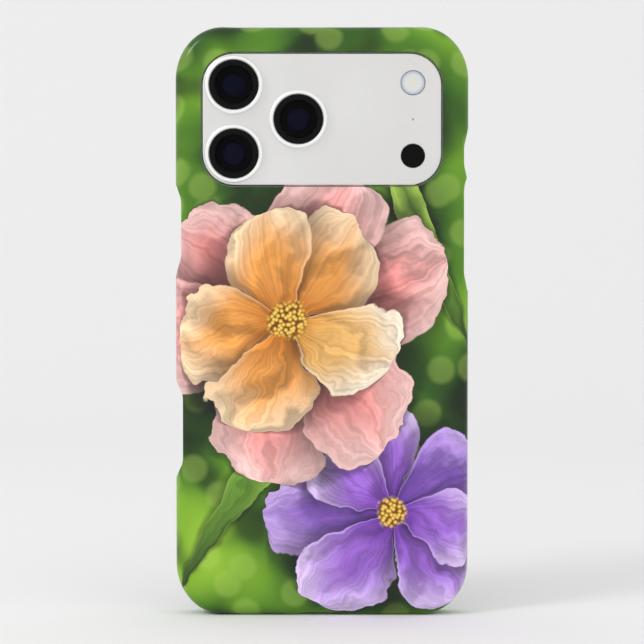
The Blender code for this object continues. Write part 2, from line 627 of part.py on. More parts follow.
def make_charging_parts(parent, finishes):
    """The flat charging coil and the ring of magnets round it."""
    y0, y1 = BODY_BACK + 0.8 * MM, BACK_INSIDE

    def washer(inner, outer):
        return spun(0, COIL_Z, [(inner, y0), (outer, y0), (outer, y1), (inner, y1)])

    place("charging_coil", washer(10 * MM, 21 * MM), finishes["copper"], parent)
    magnets = place("magnet_ring", washer(24 * MM, 27.5 * MM), finishes["steel"], parent)
    joints = []
    for i in range(MAGNETS):
        joint = block(23.5 * MM, 28 * MM, y1 - 0.25 * MM, y1 + PAST, -0.2 * MM, 0.2 * MM)
        turn = Matrix.Translation((0, 0, COIL_Z)) @ Matrix.Rotation(math.tau * i / MAGNETS, 4, "Y")
        bmesh.ops.transform(joint, matrix=turn, verts=joint.verts)
        joints.append(joint)
    cut(magnets, "magnet_joints", joints)


# ---- buttons ----


def make_button(name, middle, length, side, parent, finish):
    """A capsule that slides in the frame's wall, with a flange inside that keeps it in."""
    slider = group(f"{name}_slide", parent, Vector((side * HALF_W, BODY_MID, middle)))
    half_y, half_z = BUTTON_WIDTH / 2, length / 2
    proud = 0 if name == "camera_control" else BUTTON_PROUD
    flange_back = FLANGE_FACE - FLANGE_T

    def along(inner, outer):
        return sorted((side * (inner - HALF_W), side * (outer - HALF_W)))

    capsule = slot(-half_y, half_y, -half_z, half_z)
    key = slab(capsule, *along(flange_back + 0.2 * MM, HALF_W + proud), axis="X")
    button = place(name, key, finish, slider)
    half_y, half_z = half_y + 0.5 * MM, half_z + 0.8 * MM
    flange = slab(slot(-half_y, half_y, -half_z, half_z), *along(flange_back, FLANGE_FACE), axis="X")
    join(button, f"{name}_flange", flange)


def make_switches(parent, finish):
    """Under the buttons lie two strips of flex with a dome switch for each."""
    dome_face = FLANGE_FACE - FLANGE_T - BUTTON_TRAVEL - 0.15 * MM
    strip_face = dome_face - 0.6 * MM
    half_y = 1.2 * MM
    for name, side in (("volume_switches", 1), ("side_switches", -1)):
        heights = [middle for middle, _, where in BUTTONS.values() if where == side]
        low, high = min(heights) - 5 * MM, max(heights) + 5 * MM
        outline = rounded(BODY_MID - half_y, BODY_MID + half_y, low, high, 0.8 * MM, 2)
        ends = sorted((side * (strip_face - 0.25 * MM), side * strip_face))
        flex = place(name, slab(outline, *ends, axis="X"), finish, parent)
        ends = sorted((side * (strip_face - 0.1 * MM), side * dome_face))
        join(flex, f"{name}_domes", [pin(BODY_MID, z, 1.0 * MM, *ends, 10, "X") for z in heights])


def main():
    clear_scene()
    plastic = finish_of("gloss_polycarbonate", (0.23, 0.35, 0.07), 0.22)
    aluminium = finish_of("anodised_aluminium", (0.75, 0.745, 0.73), 0.38, 0.9)
    finishes = {
        "ring": finish_of("polished_aluminium", (0.84, 0.84, 0.83), 0.2, 0.95),
        "glass": finish_of("black_glass", (0.004, 0.004, 0.005), 0.06),
        "display": finish_of("display", (0.006, 0.006, 0.008), 0.2),
        "rubber": finish_of("rubber", (0.01, 0.01, 0.01), 0.8),
        "lens": finish_of("frosted_lens", (0.82, 0.83, 0.84), 0.3),
        "black": finish_of("black_plastic", (0.01, 0.01, 0.012), 0.45),
        "steel": finish_of("stainless_steel", (0.5, 0.5, 0.5), 0.35, 1.0),
        "board": finish_of("board_laminate", (0.01, 0.06, 0.05), 0.5),
        "copper": finish_of("copper", (0.72, 0.32, 0.18), 0.35, 1.0),
        "cell": finish_of("cell_pouch", (0.02, 0.02, 0.022), 0.4),
        "flex": finish_of("polyimide_flex", (0.35, 0.14, 0.02), 0.45),
    }
    phone = group("phone")
    make_case(plastic)
    make_frame(phone, aluminium)
    make_panes(phone, finishes)
    for name, (x, z) in CAMERAS.items():
        make_camera(name, x, z, phone, finishes)
    make_sensors(phone, finishes)
    make_head_parts(phone, finishes)
    make_bracket(phone, finishes)
    make_board(phone, finishes)
    make_battery(phone, finishes)
    make_flexes(phone, finishes)
    make_foot_parts(phone, finishes)
    make_charging_parts(phone, finishes)
    for name, facts in BUTTONS.items():
        make_button(name, *facts, phone, aluminium)
    make_switches(phone, finishes["flex"])


main()
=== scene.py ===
import json
import math

import bmesh
import bpy
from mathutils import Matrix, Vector


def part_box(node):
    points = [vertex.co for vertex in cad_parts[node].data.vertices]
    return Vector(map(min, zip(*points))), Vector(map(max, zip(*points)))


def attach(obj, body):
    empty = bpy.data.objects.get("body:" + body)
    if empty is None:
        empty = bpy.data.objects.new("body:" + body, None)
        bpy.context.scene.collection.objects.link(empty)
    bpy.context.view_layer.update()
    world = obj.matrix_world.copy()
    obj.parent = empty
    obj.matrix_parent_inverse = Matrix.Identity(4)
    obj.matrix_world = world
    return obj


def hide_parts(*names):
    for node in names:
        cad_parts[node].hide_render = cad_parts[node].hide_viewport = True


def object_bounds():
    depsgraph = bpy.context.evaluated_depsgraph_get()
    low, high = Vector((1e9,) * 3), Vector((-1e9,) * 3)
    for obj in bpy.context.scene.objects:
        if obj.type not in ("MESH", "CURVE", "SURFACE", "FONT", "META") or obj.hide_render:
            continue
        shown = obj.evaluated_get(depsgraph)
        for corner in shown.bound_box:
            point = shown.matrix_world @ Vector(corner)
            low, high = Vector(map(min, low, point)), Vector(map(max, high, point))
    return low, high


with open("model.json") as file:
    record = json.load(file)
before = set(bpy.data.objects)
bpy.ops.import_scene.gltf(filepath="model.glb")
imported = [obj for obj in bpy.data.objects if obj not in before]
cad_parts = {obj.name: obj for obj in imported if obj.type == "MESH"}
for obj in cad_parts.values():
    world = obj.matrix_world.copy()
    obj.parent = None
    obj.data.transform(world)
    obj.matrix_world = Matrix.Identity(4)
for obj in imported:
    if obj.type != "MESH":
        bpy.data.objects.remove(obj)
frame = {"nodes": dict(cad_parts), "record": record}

MM = 0.001
cad_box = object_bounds()

# ---- Camera ----
# A long lens looks at the back almost straight on, from a little above its middle.
# The object fills the height of the picture.
aim = (cad_box[0] + cad_box[1]) / 2
aim.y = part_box("printed_case")[0].y
VIEW_WIDTH = 182.4 * MM
LENS_MM = 135.0
CAMERA_RISE = math.radians(1.8)
distance = VIEW_WIDTH * LENS_MM / 36
camera_data = bpy.data.cameras.new("camera")
camera_data.lens = LENS_MM
camera = bpy.data.objects.new("camera", camera_data)
camera.location = aim + distance * Vector((0, -math.cos(CAMERA_RISE), math.sin(CAMERA_RISE)))
camera.rotation_euler = (math.pi / 2 - CAMERA_RISE, 0, 0)
bpy.context.scene.collection.objects.link(camera)
bpy.context.scene.camera = camera

# ---- Floor and backdrop ----
# One matte paper sweep: it lies flat under the object and curves up far behind it.
# It is the same pale grey all over and takes the object's soft shadow.


def linear(text):
    """A colour from its sRGB hex value."""
    parts = [int(text[i:i + 2], 16) / 255 for i in (1, 3, 5)]
    return tuple(c / 12.92 if c <= 0.04045 else ((c + 0.055) / 1.055) ** 2.4 for c in parts) + (1.0,)


def node(tree, kind, inputs=None, **settings):
    """Adds a node, sets its properties, and fills its inputs with values or links."""
    made = tree.nodes.new(kind)
    for name, value in settings.items():
        setattr(made, name, value)
    for socket, value in (inputs or {}).items():
        if isinstance(value, bpy.types.NodeSocket):
            tree.links.new(value, made.inputs[socket])
        else:
            made.inputs[socket].default_value = value
    return made


def material(name):
    """An empty node material with its output, and the tree to fill."""
    made = bpy.data.materials.new(name)
    made.use_nodes = True
    made.node_tree.nodes.clear()
    return made, made.node_tree


def pick(obj, kind, test):
    """Selects the vertices, edges or faces that pass the test, and stays in edit mode."""
    bpy.context.view_layer.objects.active = obj
    bpy.ops.object.mode_set(mode="EDIT")
    bpy.ops.mesh.select_mode(type=kind)
    bpy.ops.mesh.select_all(action="DESELECT")
    mesh = bmesh.from_edit_mesh(obj.data)
    for element in {"VERT": mesh.verts, "EDGE": mesh.edges, "FACE": mesh.faces}[kind]:
        if test(element):
            element.select_set(True)
    mesh.select_flush_mode()
    bmesh.update_edit_mesh(obj.data)


paper, tree = material("sweep_paper")
grain = node(tree, "ShaderNodeTexNoise", {"Scale": 900.0, "Detail": 2.0,
             "Vector": node(tree, "ShaderNodeTexCoord").outputs["Object"]})
bump = node(tree, "ShaderNodeBump", {"Strength": 0.02, "Distance": 0.0002, "Height": grain.outputs["Fac"]})
shader = node(tree, "ShaderNodeBsdfPrincipled", {"Base Color": linear("#ededed"), "Roughness": 0.9,
              "Specular IOR Level": 0.1, "Normal": bump.outputs["Normal"]})
node(tree, "ShaderNodeOutputMaterial", {"Surface": shader.outputs[0]})
bpy.ops.object.select_all(action="DESELECT")
bpy.ops.mesh.primitive_plane_add(size=6.0, location=(0, -1.5, 0))
sweep = bpy.context.object
sweep.name = "sweep"
pick(sweep, "EDGE", lambda e: all(v.co.y > 2.9 for v in e.verts))
bpy.ops.mesh.extrude_region_move(TRANSFORM_OT_translate={"value": (0, 0, 3.0)})
pick(sweep, "EDGE", lambda e: all(v.co.y > 2.9 and v.co.z < 0.1 for v in e.verts))
bpy.ops.mesh.bevel(offset=0.9, segments=32, affect="EDGES")
bpy.ops.object.mode_set(mode="OBJECT")
bpy.ops.object.shade_smooth()
sweep.data.materials.append(paper)

# ---- Light ----
# One big softbox from the left front gives the long soft shadow to the right, and an even
# pale surround fills the rest.
world = bpy.data.worlds.new("surround")
bpy.context.scene.world = world
world.use_nodes = True
world.node_tree.nodes["Background"].inputs["Color"].default_value = (1.0, 1.0, 1.0, 1.0)
world.node_tree.nodes["Background"].inputs["Strength"].default_value = 0.95
softbox_data = bpy.data.lights.new("softbox", "AREA")
softbox_data.shape = "DISK"
softbox_data.size = 0.5
softbox_data.energy = 6.0
softbox = bpy.data.objects.new("softbox", softbox_data)
softbox.location = (-1.0, -0.85, 1.0)
softbox.rotation_euler = (aim - softbox.location).to_track_quat("-Z", "Y").to_euler()
bpy.context.scene.collection.objects.link(softbox)
bpy.context.scene.view_settings.view_transform = "Standard"

# ---- Printed case ----
# A thin clip-on shell moulded in hard polycarbonate. Its outside is printed all over with
# flowers and sealed under a clear gloss coat; the cut edges and the inside stay bare.
CORNER_X = 13.3 * MM
CORNER_Z = 15.0 * MM
BACK_ROUND = 3.0 * MM
LIP_ROUND = 0.9 * MM
TOP_DIP = 0.42 * MM
PHONE_CORNER = 13.0 * MM
GAP = 0.3 * MM
PAST = 3.0 * MM
case_low, case_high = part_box("printed_case")
frame_low, frame_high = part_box("frame")
body_back = frame_high.y - 8.75 * MM
case_half_w = case_high.x


def block(name, low, high):
    """A cube primitive between two corners, with its place in its mesh."""
    low, high = Vector(low), Vector(high)
    if bpy.context.mode != "OBJECT":
        bpy.ops.object.mode_set(mode="OBJECT")
    bpy.ops.object.select_all(action="DESELECT")
    bpy.ops.mesh.primitive_cube_add(size=1, location=(low + high) / 2, scale=high - low)
    bpy.ops.object.transform_apply(location=True, rotation=True, scale=True)
    made = bpy.context.object
    made.name = made.data.name = name
    return made


def round_rim(obj, level, radius, segments):
    """Rounds the edge loop that lies at one level along Y."""
    if radius:
        pick(obj, "EDGE", lambda e: all(abs(v.co.y - level) < 1e-6 for v in e.verts)
             and e.calc_face_angle(0) > 0.5)
        bpy.ops.mesh.bevel(offset=radius, segments=segments, affect="EDGES")


def rounded_block(name, low, high, corner, back=0.0, front=0.0, stretch=1.0, segments=20):
    """A block with round corners as seen along Y, and rounded rims at its back and front.
    With a stretch, the corners are quarter ellipses that much higher than wide."""
    low, high = Vector(low), Vector(high)
    middle = (low + high) / 2
    half_z = (high.z - low.z) / 2 / stretch
    made = block(name, (low.x, low.y, middle.z - half_z), (high.x, high.y, middle.z + half_z))
    pick(made, "EDGE", lambda e: abs(e.verts[0].co.y - e.verts[1].co.y) > 1e-6)
    bpy.ops.mesh.bevel(offset=corner, segments=segments, affect="EDGES")
    bpy.ops.mesh.select_all(action="SELECT")
    bpy.ops.transform.resize(value=(1, 1, stretch), center_override=middle)
    round_rim(made, low.y, back, 8)
    round_rim(made, high.y, front, 5)
    bpy.ops.object.mode_set(mode="OBJECT")
    return made


def bar(name, centre, radius, y0, y1, vertices=96, axis="Y"):
    """A cylinder primitive along an axis, from one level to another."""
    if bpy.context.mode != "OBJECT":
        bpy.ops.object.mode_set(mode="OBJECT")
    bpy.ops.object.select_all(action="DESELECT")
    x, z = centre
    middle, turn = {"Y": ((x, (y0 + y1) / 2, z), (math.pi / 2, 0, 0)),
                    "Z": ((x, z, (y0 + y1) / 2), (0, 0, 0))}[axis]
    bpy.ops.mesh.primitive_cylinder_add(vertices=vertices, radius=radius, depth=abs(y1 - y0),
                                        location=middle, rotation=turn)
    bpy.ops.object.transform_apply(location=True, rotation=True, scale=True)
    made = bpy.context.object
    made.name = made.data.name = name
    return made


def carve(obj, tools, operation="DIFFERENCE"):
    """Cuts the tools from the object, or joins them to it, and clears them away."""
    for tool in tools:
        boolean = obj.modifiers.new("carve", "BOOLEAN")
        boolean.operation = operation
        boolean.object = tool
        bpy.ops.object.select_all(action="DESELECT")
        bpy.context.view_layer.objects.active = obj
        bpy.ops.object.modifier_apply(modifier="carve")
        bpy.data.objects.remove(tool)


def settle(obj, body, replaced=(), finish=None, angle=32):
    """Smooths the rounded parts, keeps the flat ones flat, and ties the piece to its body."""
    bpy.ops.object.select_all(action="DESELECT")
    obj.select_set(True)
    bpy.context.view_layer.objects.active = obj
    bpy.ops.object.shade_smooth_by_angle(angle=math.radians(angle))
    weighted = obj.modifiers.new("even_normals", "WEIGHTED_NORMAL")
    weighted.keep_sharp = True
    bpy.ops.object.modifier_apply(modifier="even_normals")
    if finish:
        obj.data.materials.append(finish)
    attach(obj, body)
    if replaced:
        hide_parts(*replaced)


def notch_cutter(side, start, flat_start, flat_end, end, depth):
    """A finger notch: ramps at both ends, a floor that slants in to the phone's flank, and
    open towards the screen."""
    outer = case_half_w + PAST
    flank = frame_high.x + GAP / 3
    middle = (flat_start + flat_end) / 2
    xs = sorted((side * flank, side * outer))
    made = block("notch", (xs[0], body_back - GAP, flat_start), (xs[1], case_high.y + PAST, flat_end))
    for level, floor in ((case_low.y + 0.5 * MM, case_half_w - depth), (case_low.y - PAST, None)):
        back = min(v.co.y for v in made.data.vertices)
        pick(made, "FACE", lambda f: all(abs(v.co.y - back) < 1e-7 for v in f.verts))
        bpy.ops.mesh.extrude_region_move(TRANSFORM_OT_translate={"value": (0, level - back, 0)})
        if floor:
            pick(made, "VERT", lambda v: abs(v.co.y - level) < 1e-7 and abs(v.co.x) < flank + 1e-6)
            bpy.ops.transform.translate(value=(side * (floor - flank), 0, 0))
        bpy.ops.object.mode_set(mode="OBJECT")
    slope = (flat_start - start) / depth
    for low_end, ramp in ((True, slope), (False, (end - flat_end) / depth)):
        pick(made, "VERT", lambda v: abs(v.co.x) > outer - 1e-6 and (v.co.z < middle) == low_end)
        bpy.ops.transform.translate(value=(0, 0, (-1 if low_end else 1) * ramp * (depth + PAST)))
        bpy.ops.object.mode_set(mode="OBJECT")
    pick(made, "EDGE", lambda e: abs(e.verts[0].co.y - e.verts[1].co.y) > 1e-6
         and all(abs(v.co.x) < case_half_w for v in e.verts))
    bpy.ops.mesh.bevel(offset=1.1 * MM, segments=6, affect="EDGES")
    bpy.ops.object.mode_set(mode="OBJECT")
    return made


case = rounded_block("printed_case_shell", case_low, case_high, CORNER_X, stretch=CORNER_Z / CORNER_X,
                     segments=28)
# the top edge sinks a little towards its middle, along a parabola
STRIPS = 14
dip_half = case_half_w - CORNER_X
for i in range(1, STRIPS):
    x = dip_half * (2 * i / STRIPS - 1)
    pick(case, "VERT", lambda v: True)
    bpy.ops.mesh.bisect(plane_co=(x, 0, 0), plane_no=(1, 0, 0))
    pick(case, "VERT", lambda v: abs(v.co.x - x) < 1e-6 and v.co.z > case_high.z - 1e-6)
    bpy.ops.transform.translate(value=(0, 0, TOP_DIP * ((x / dip_half) ** 2 - 1)))
    bpy.ops.object.mode_set(mode="OBJECT")
round_rim(case, case_low.y, BACK_ROUND, 12)
round_rim(case, case_high.y, LIP_ROUND, 6)
bpy.ops.object.mode_set(mode="OBJECT")

phone_low = Vector((frame_low.x, body_back, frame_low.z))
phone_high = frame_high
across, up = Vector((1, 0, 0)), Vector((0, 0, 1))


def spread(low, high, margin):
    """Two corners moved apart in X and Z."""
    shift = margin * (across + up)
    return Vector(low) - shift, Vector(high) + shift


low, high = spread(phone_low, phone_high, GAP)
low.y, high.y = body_back - GAP, phone_high.y + GAP / 2
space = rounded_block("space", low, high, PHONE_CORNER + GAP)
LIP_OVERHANG = 0.9 * MM
low, high = spread(phone_low, phone_high, -LIP_OVERHANG)
low.y, high.y = 0.0, case_high.y + PAST
mouth = rounded_block("mouth", low, high, PHONE_CORNER - LIP_OVERHANG)
PLATEAU_Z = 140.8 * MM
PLATEAU_HALF = Vector((34.05 * MM, 0, 18.85 * MM))
PLATEAU_CORNER = 9.3 * MM
WINDOW_CLEARANCE = 0.2 * MM
plateau_middle = Vector((0, 0, PLATEAU_Z))
low, high = spread(plateau_middle - PLATEAU_HALF, plateau_middle + PLATEAU_HALF, WINDOW_CLEARANCE)
low.y, high.y = case_low.y - PAST, 0.0
window = rounded_block("window", low, high, PLATEAU_CORNER + WINDOW_CLEARANCE, segments=16)
carve(case, [space, mouth, window])
pick(case, "EDGE", lambda e: all(abs(v.co.y - case_low.y) < 1e-6 and abs(v.co.z - PLATEAU_Z) < 19.6 * MM
                                 and abs(v.co.x) < 34.8 * MM for v in e.verts) and e.is_manifold)
bpy.ops.mesh.bevel(offset=0.12 * MM, segments=3, affect="EDGES")
bpy.ops.object.mode_set(mode="OBJECT")
NOTCHES_MM = {
    "action": (1, 124.7, 127.7, 133.2, 136.8, 1.3),
    "volume": (1, 93.6, 96.9, 121.6, 124.5, 1.25),
    "side": (-1, 97.4, 101.7, 118.5, 121.7, 1.65),
    "control": (-1, 39.3, 43.6, 62.8, 66.6, 2.05),
}
carve(case, [notch_cutter(side, *(v * MM for v in sizes)) for side, *sizes in NOTCHES_MM.values()])
PORT_FLAT, PORT_HALF, PORT_DEPTH = 4.65 * MM, 7.4 * MM, 0.8 * MM
port = block("port", (-PORT_FLAT, case_low.y - PAST, -PAST), (PORT_FLAT, case_high.y + PAST, PORT_DEPTH))
flare = (PORT_HALF - PORT_FLAT) * (PORT_DEPTH + PAST) / PORT_DEPTH
pick(port, "VERT", lambda v: v.co.z < 0)
bpy.ops.transform.resize(value=(1 + flare / PORT_FLAT, 1, 1), center_override=(0, 0, -PAST))
deep_port = block("deep_port", (-PORT_FLAT, body_back - GAP, -PAST),
                  (PORT_FLAT, case_high.y + PAST, frame_low.z - GAP / 3))
carve(case, [port, deep_port])
SOUND_SLOT_X = (10.6 * MM, 23.4 * MM)
SOUND_SLOT_HALF = 1.4 * MM
body_mid = (body_back + frame_high.y) / 2
slots = []
for near, far in (SOUND_SLOT_X, (-SOUND_SLOT_X[1], -SOUND_SLOT_X[0])):
    slot = block("slot", (near, body_mid - SOUND_SLOT_HALF, -PAST),
                 (far, body_mid + SOUND_SLOT_HALF, frame_low.z))
    pick(slot, "EDGE", lambda e: abs(e.verts[0].co.z - e.verts[1].co.z) > 1e-6)
    bpy.ops.mesh.bevel(offset=SOUND_SLOT_HALF * 0.99, segments=10, affect="EDGES")
    bpy.ops.object.mode_set(mode="OBJECT")
    slots.append(slot)
carve(case, slots)

# The print is a close picture of garden flowers, all drawn in millimetres on the back: a big
# apricot and rose blossom, a lilac one, leaves, and a blurred green garden behind them.


def petal_group():
    """One petal, leaf or bud over what lies below it. It has a bent middle line, a swelling
    width, ruffled edges, veins, folds and a soft shadow on what is below."""
    group = bpy.data.node_groups.new("petal", "ShaderNodeTree")
    for name, kind in (("Point", "Vector"), ("Ruffle", "Vector"), ("Foot", "Vector"), ("Turn", "Float"),
                       ("Length", "Float"), ("Width", "Float"), ("Bend", "Float"), ("Seed", "Float"),
                       ("Frill", "Float"), ("Below", "Vector"), ("Foot colour", "Vector"),
                       ("Middle colour", "Vector"), ("Tip colour", "Vector")):
        group.interface.new_socket(name, in_out="INPUT", socket_type=f"NodeSocket{kind}")
    group.interface.new_socket("Over", in_out="OUTPUT", socket_type="NodeSocketVector")
    given = node(group, "NodeGroupInput").outputs
    away = node(group, "ShaderNodeVectorMath", {0: given["Point"], 1: given["Foot"]}, operation="SUBTRACT")
    turned = node(group, "ShaderNodeVectorRotate", {"Vector": away.outputs[0], "Angle": given["Turn"]},
                  rotation_type="Z_AXIS", invert=True)
    own = node(group, "ShaderNodeSeparateXYZ", {0: turned.outputs[0]}).outputs
    wave = node(group, "ShaderNodeSeparateXYZ", {0: given["Ruffle"]}).outputs
    plain = node(group, "ShaderNodeMath", {0: own["X"], 1: given["Length"]}, operation="DIVIDE").outputs[0]
    frill = node(group, "ShaderNodeMath", {0: wave["X"], 1: given["Frill"]},
                 operation="MULTIPLY").outputs[0]
    along = node(group, "ShaderNodeMath", {0: wave["Y"], 1: 0.16, 2: plain},
                 operation="MULTIPLY_ADD").outputs[0]
    square = node(group, "ShaderNodeMath", {0: along, 1: along}, operation="MULTIPLY").outputs[0]
    arc = node(group, "ShaderNodeMath", {0: square, 1: given["Bend"]}, operation="MULTIPLY").outputs[0]
    side = node(group, "ShaderNodeMath", {0: own["Y"], 1: arc}, operation="SUBTRACT").outputs[0]
    side = node(group, "ShaderNodeMath", {0: frill, 1: along, 2: side}, operation="MULTIPLY_ADD").outputs[0]
    swell = node(group, "ShaderNodeFloatCurve", {"Value": along})
    curve = swell.mapping.curves[0]
    for x, y in ((0.12, 0.2), (0.35, 0.62), (0.62, 0.97), (0.82, 0.9), (0.94, 0.6)):
        curve.points.new(x, y)
    curve.points[0].location = (0.0, 0.0)
    curve.points[-1].location = (1.0, 0.0)
    swell.mapping.extend = "HORIZONTAL"
    swell.mapping.update()
    wide = node(group, "ShaderNodeMath", {0: swell.outputs[0], 1: given["Width"], 2: 0.0004},
                operation="MULTIPLY_ADD").outputs[0]
    across_it = node(group, "ShaderNodeMath", {0: side, 1: wide}, operation="DIVIDE").outputs[0]
    out = node(group, "ShaderNodeMath", {0: across_it}, operation="ABSOLUTE").outputs[0]
    inside = node(group, "ShaderNodeMapRange", {0: out, 1: 1.0, 2: 0.965, 3: 0.0, 4: 1.0},
                  interpolation_type="SMOOTHSTEP").outputs[0]
    # veins run from the foot and spread with the petal; folds cross it at a slant
    spot = node(group, "ShaderNodeMath", {0: across_it, 1: 9.0, 2: given["Seed"]},
                operation="MULTIPLY_ADD").outputs[0]
    spot = node(group, "ShaderNodeMath", {0: wave["X"], 1: 0.9, 2: spot},
                operation="MULTIPLY_ADD").outputs[0]
    veins = node(group, "ShaderNodeTexNoise", {"W": spot, "Scale": 1.0, "Detail": 4.0, "Roughness": 0.6},
                 noise_dimensions="1D").outputs["Fac"]
    vein_tone = node(group, "ShaderNodeMapRange", {0: veins, 1: 0.3, 2: 0.7, 3: 0.78, 4: 1.12}).outputs[0]
    spot = node(group, "ShaderNodeMath", {0: across_it, 1: 1.3, 2: given["Seed"]},
                operation="MULTIPLY_ADD").outputs[0]
    spot = node(group, "ShaderNodeMath", {0: along, 1: 2.4, 2: spot}, operation="MULTIPLY_ADD").outputs[0]
    spot = node(group, "ShaderNodeMath", {0: wave["Y"], 1: 1.6, 2: spot},
                operation="MULTIPLY_ADD").outputs[0]
    folds = node(group, "ShaderNodeTexNoise", {"W": spot, "Scale": 1.0, "Detail": 1.0},
                 noise_dimensions="1D").outputs["Fac"]
    fold_tone = node(group, "ShaderNodeMapRange", {0: folds, 1: 0.3, 2: 0.7, 3: 0.66, 4: 1.22}).outputs[0]
    # the half that faces the upper left is lighter
    lean = node(group, "ShaderNodeMath", {0: given["Turn"], 1: 0.8}, operation="SUBTRACT").outputs[0]
    lean = node(group, "ShaderNodeMath", {0: lean}, operation="COSINE").outputs[0]
    lit = node(group, "ShaderNodeMath", {0: lean, 1: across_it}, operation="MULTIPLY").outputs[0]
    lit = node(group, "ShaderNodeMath", {0: lit, 1: 0.16, 2: 1.0}, operation="MULTIPLY_ADD").outputs[0]
    tone = node(group, "ShaderNodeMath", {0: vein_tone, 1: fold_tone}, operation="MULTIPLY").outputs[0]
    tone = node(group, "ShaderNodeMath", {0: tone, 1: lit}, operation="MULTIPLY").outputs[0]
    rise = node(group, "ShaderNodeMapRange", {0: along, 1: 0.05, 2: 0.5}, interpolation_type="SMOOTHSTEP")
    body = node(group, "ShaderNodeMix", {"Factor": rise.outputs[0], "A": given["Foot colour"],
                "B": given["Middle colour"]}, data_type="VECTOR")
    far = node(group, "ShaderNodeMath", {0: out, 1: 0.4, 2: along}, operation="MULTIPLY_ADD").outputs[0]
    rim = node(group, "ShaderNodeMapRange", {0: far, 1: 0.6, 2: 1.25}, interpolation_type="SMOOTHSTEP")
    body = node(group, "ShaderNodeMix", {"Factor": rim.outputs[0], "A": body.outputs["Result"],
                "B": given["Tip colour"]}, data_type="VECTOR")
    toned = node(group, "ShaderNodeVectorMath", {0: body.outputs["Result"], "Scale": tone},
                 operation="SCALE")
    edge = node(group, "ShaderNodeMapRange", {0: out, 1: 0.86, 2: 0.97, 3: 0.0, 4: 0.35},
                interpolation_type="SMOOTHSTEP")
    edged = node(group, "ShaderNodeMix", {"Factor": edge.outputs[0], "A": toned.outputs[0],
                 "B": given["Tip colour"]}, data_type="VECTOR")
    gloom = node(group, "ShaderNodeMapRange", {0: out, 1: 0.95, 2: 1.7, 3: 0.42, 4: 1.0},
                 interpolation_type="SMOOTHSTEP")
    shaded = node(group, "ShaderNodeVectorMath", {0: given["Below"], "Scale": gloom.outputs[0]},
                  operation="SCALE")
    over = node(group, "ShaderNodeMix", {"Factor": inside, "A": shaded.outputs[0],
                "B": edged.outputs["Result"]}, data_type="VECTOR")
    node(group, "NodeGroupOutput", {"Over": over.outputs["Result"]})
    return group


printed, tree = material("printed_polycarbonate")
place = node(tree, "ShaderNodeTexCoord").outputs["Object"]
parts = node(tree, "ShaderNodeSeparateXYZ", {0: place}).outputs
# the picture runs on over the sides, so a point there reads the picture further out
down = node(tree, "ShaderNodeMath", {0: parts["Y"], 1: case_low.y}, operation="SUBTRACT").outputs[0]
wider = node(tree, "ShaderNodeMath", {0: down, 1: 1 / case_half_w, 2: 1.0},
             operation="MULTIPLY_ADD").outputs[0]
picture_x = node(tree, "ShaderNodeMath", {0: parts["X"], 1: wider}, operation="MULTIPLY").outputs[0]
case_middle_z = (case_low.z + case_high.z) / 2
taller = node(tree, "ShaderNodeMath", {0: down, 1: 1 / case_middle_z, 2: 1.0},
              operation="MULTIPLY_ADD").outputs[0]
picture_z = node(tree, "ShaderNodeMath", {0: parts["Z"], 1: case_middle_z}, operation="SUBTRACT").outputs[0]
picture_z = node(tree, "ShaderNodeMath", {0: picture_z, 1: taller, 2: case_middle_z},
                 operation="MULTIPLY_ADD").outputs[0]
flat = node(tree, "ShaderNodeCombineXYZ", {"X": picture_x, "Y": picture_z}).outputs[0]
canvas = node(tree, "ShaderNodeVectorMath", {0: flat, "Scale": 1000.0}, operation="SCALE").outputs[0]
# blurred garden: soft greens 10 to 60 mm across, deep gaps and pale round lights
broad = node(tree, "ShaderNodeTexNoise", {"Vector": canvas, "Scale": 0.026, "Detail": 1.5}).outputs["Fac"]
garden = node(tree, "ShaderNodeValToRGB", {"Fac": broad})
ramp = garden.color_ramp
ramp.elements[0].position, ramp.elements[0].color = 0.3, linear("#16300c")
ramp.elements[1].position, ramp.elements[1].color = 0.74, linear("#a4d23c")
for spot, colour in ((0.42, "#315c14"), (0.52, "#55871d"), (0.62, "#7fb02a")):
    ramp.elements.new(spot).color = linear(colour)
gaps = node(tree, "ShaderNodeTexNoise", {"Vector": canvas, "Scale": 0.055, "Detail": 1.0}).outputs["Fac"]
gap_tone = node(tree, "ShaderNodeMapRange", {0: gaps, 1: 0.34, 2: 0.52, 3: 0.35, 4: 1.0},
                interpolation_type="SMOOTHSTEP").outputs[0]
garden = node(tree, "ShaderNodeSeparateColor", {0: garden.outputs[0]}).outputs
below = node(tree, "ShaderNodeCombineXYZ", {0: garden[0], 1: garden[1], 2: garden[2]}).outputs[0]
below = node(tree, "ShaderNodeVectorMath", {0: below, "Scale": gap_tone}, operation="SCALE").outputs[0]
lights = node(tree, "ShaderNodeTexVoronoi", {"Vector": canvas, "Scale": 0.075}, voronoi_dimensions="2D")
light_tone = node(tree, "ShaderNodeMapRange", {0: lights.outputs["Distance"], 1: 0.36, 2: 0.22, 3: 0.0,
                  4: 0.2}, interpolation_type="SMOOTHSTEP").outputs[0]
below = node(tree, "ShaderNodeMix", {"Factor": light_tone, "A": below, "B": linear("#bfe068")[:3]},
             data_type="VECTOR").outputs["Result"]
ruffle = node(tree, "ShaderNodeTexNoise", {"Vector": canvas, "Scale": 0.13, "Detail": 3.0,
              "Roughness": 0.45}).outputs["Color"]
ruffle = node(tree, "ShaderNodeSeparateColor", {0: ruffle}).outputs
ruffle = node(tree, "ShaderNodeCombineXYZ", {0: ruffle[0], 1: ruffle[1]}).outputs[0]
ruffle = node(tree, "ShaderNodeVectorMath", {0: ruffle, 1: (0.5, 0.5, 0.0)},
              operation="SUBTRACT").outputs[0]
swayed = node(tree, "ShaderNodeVectorMath", {0: ruffle, 1: (4.0, 4.0, 0.0), 2: canvas},
              operation="MULTIPLY_ADD").outputs[0]

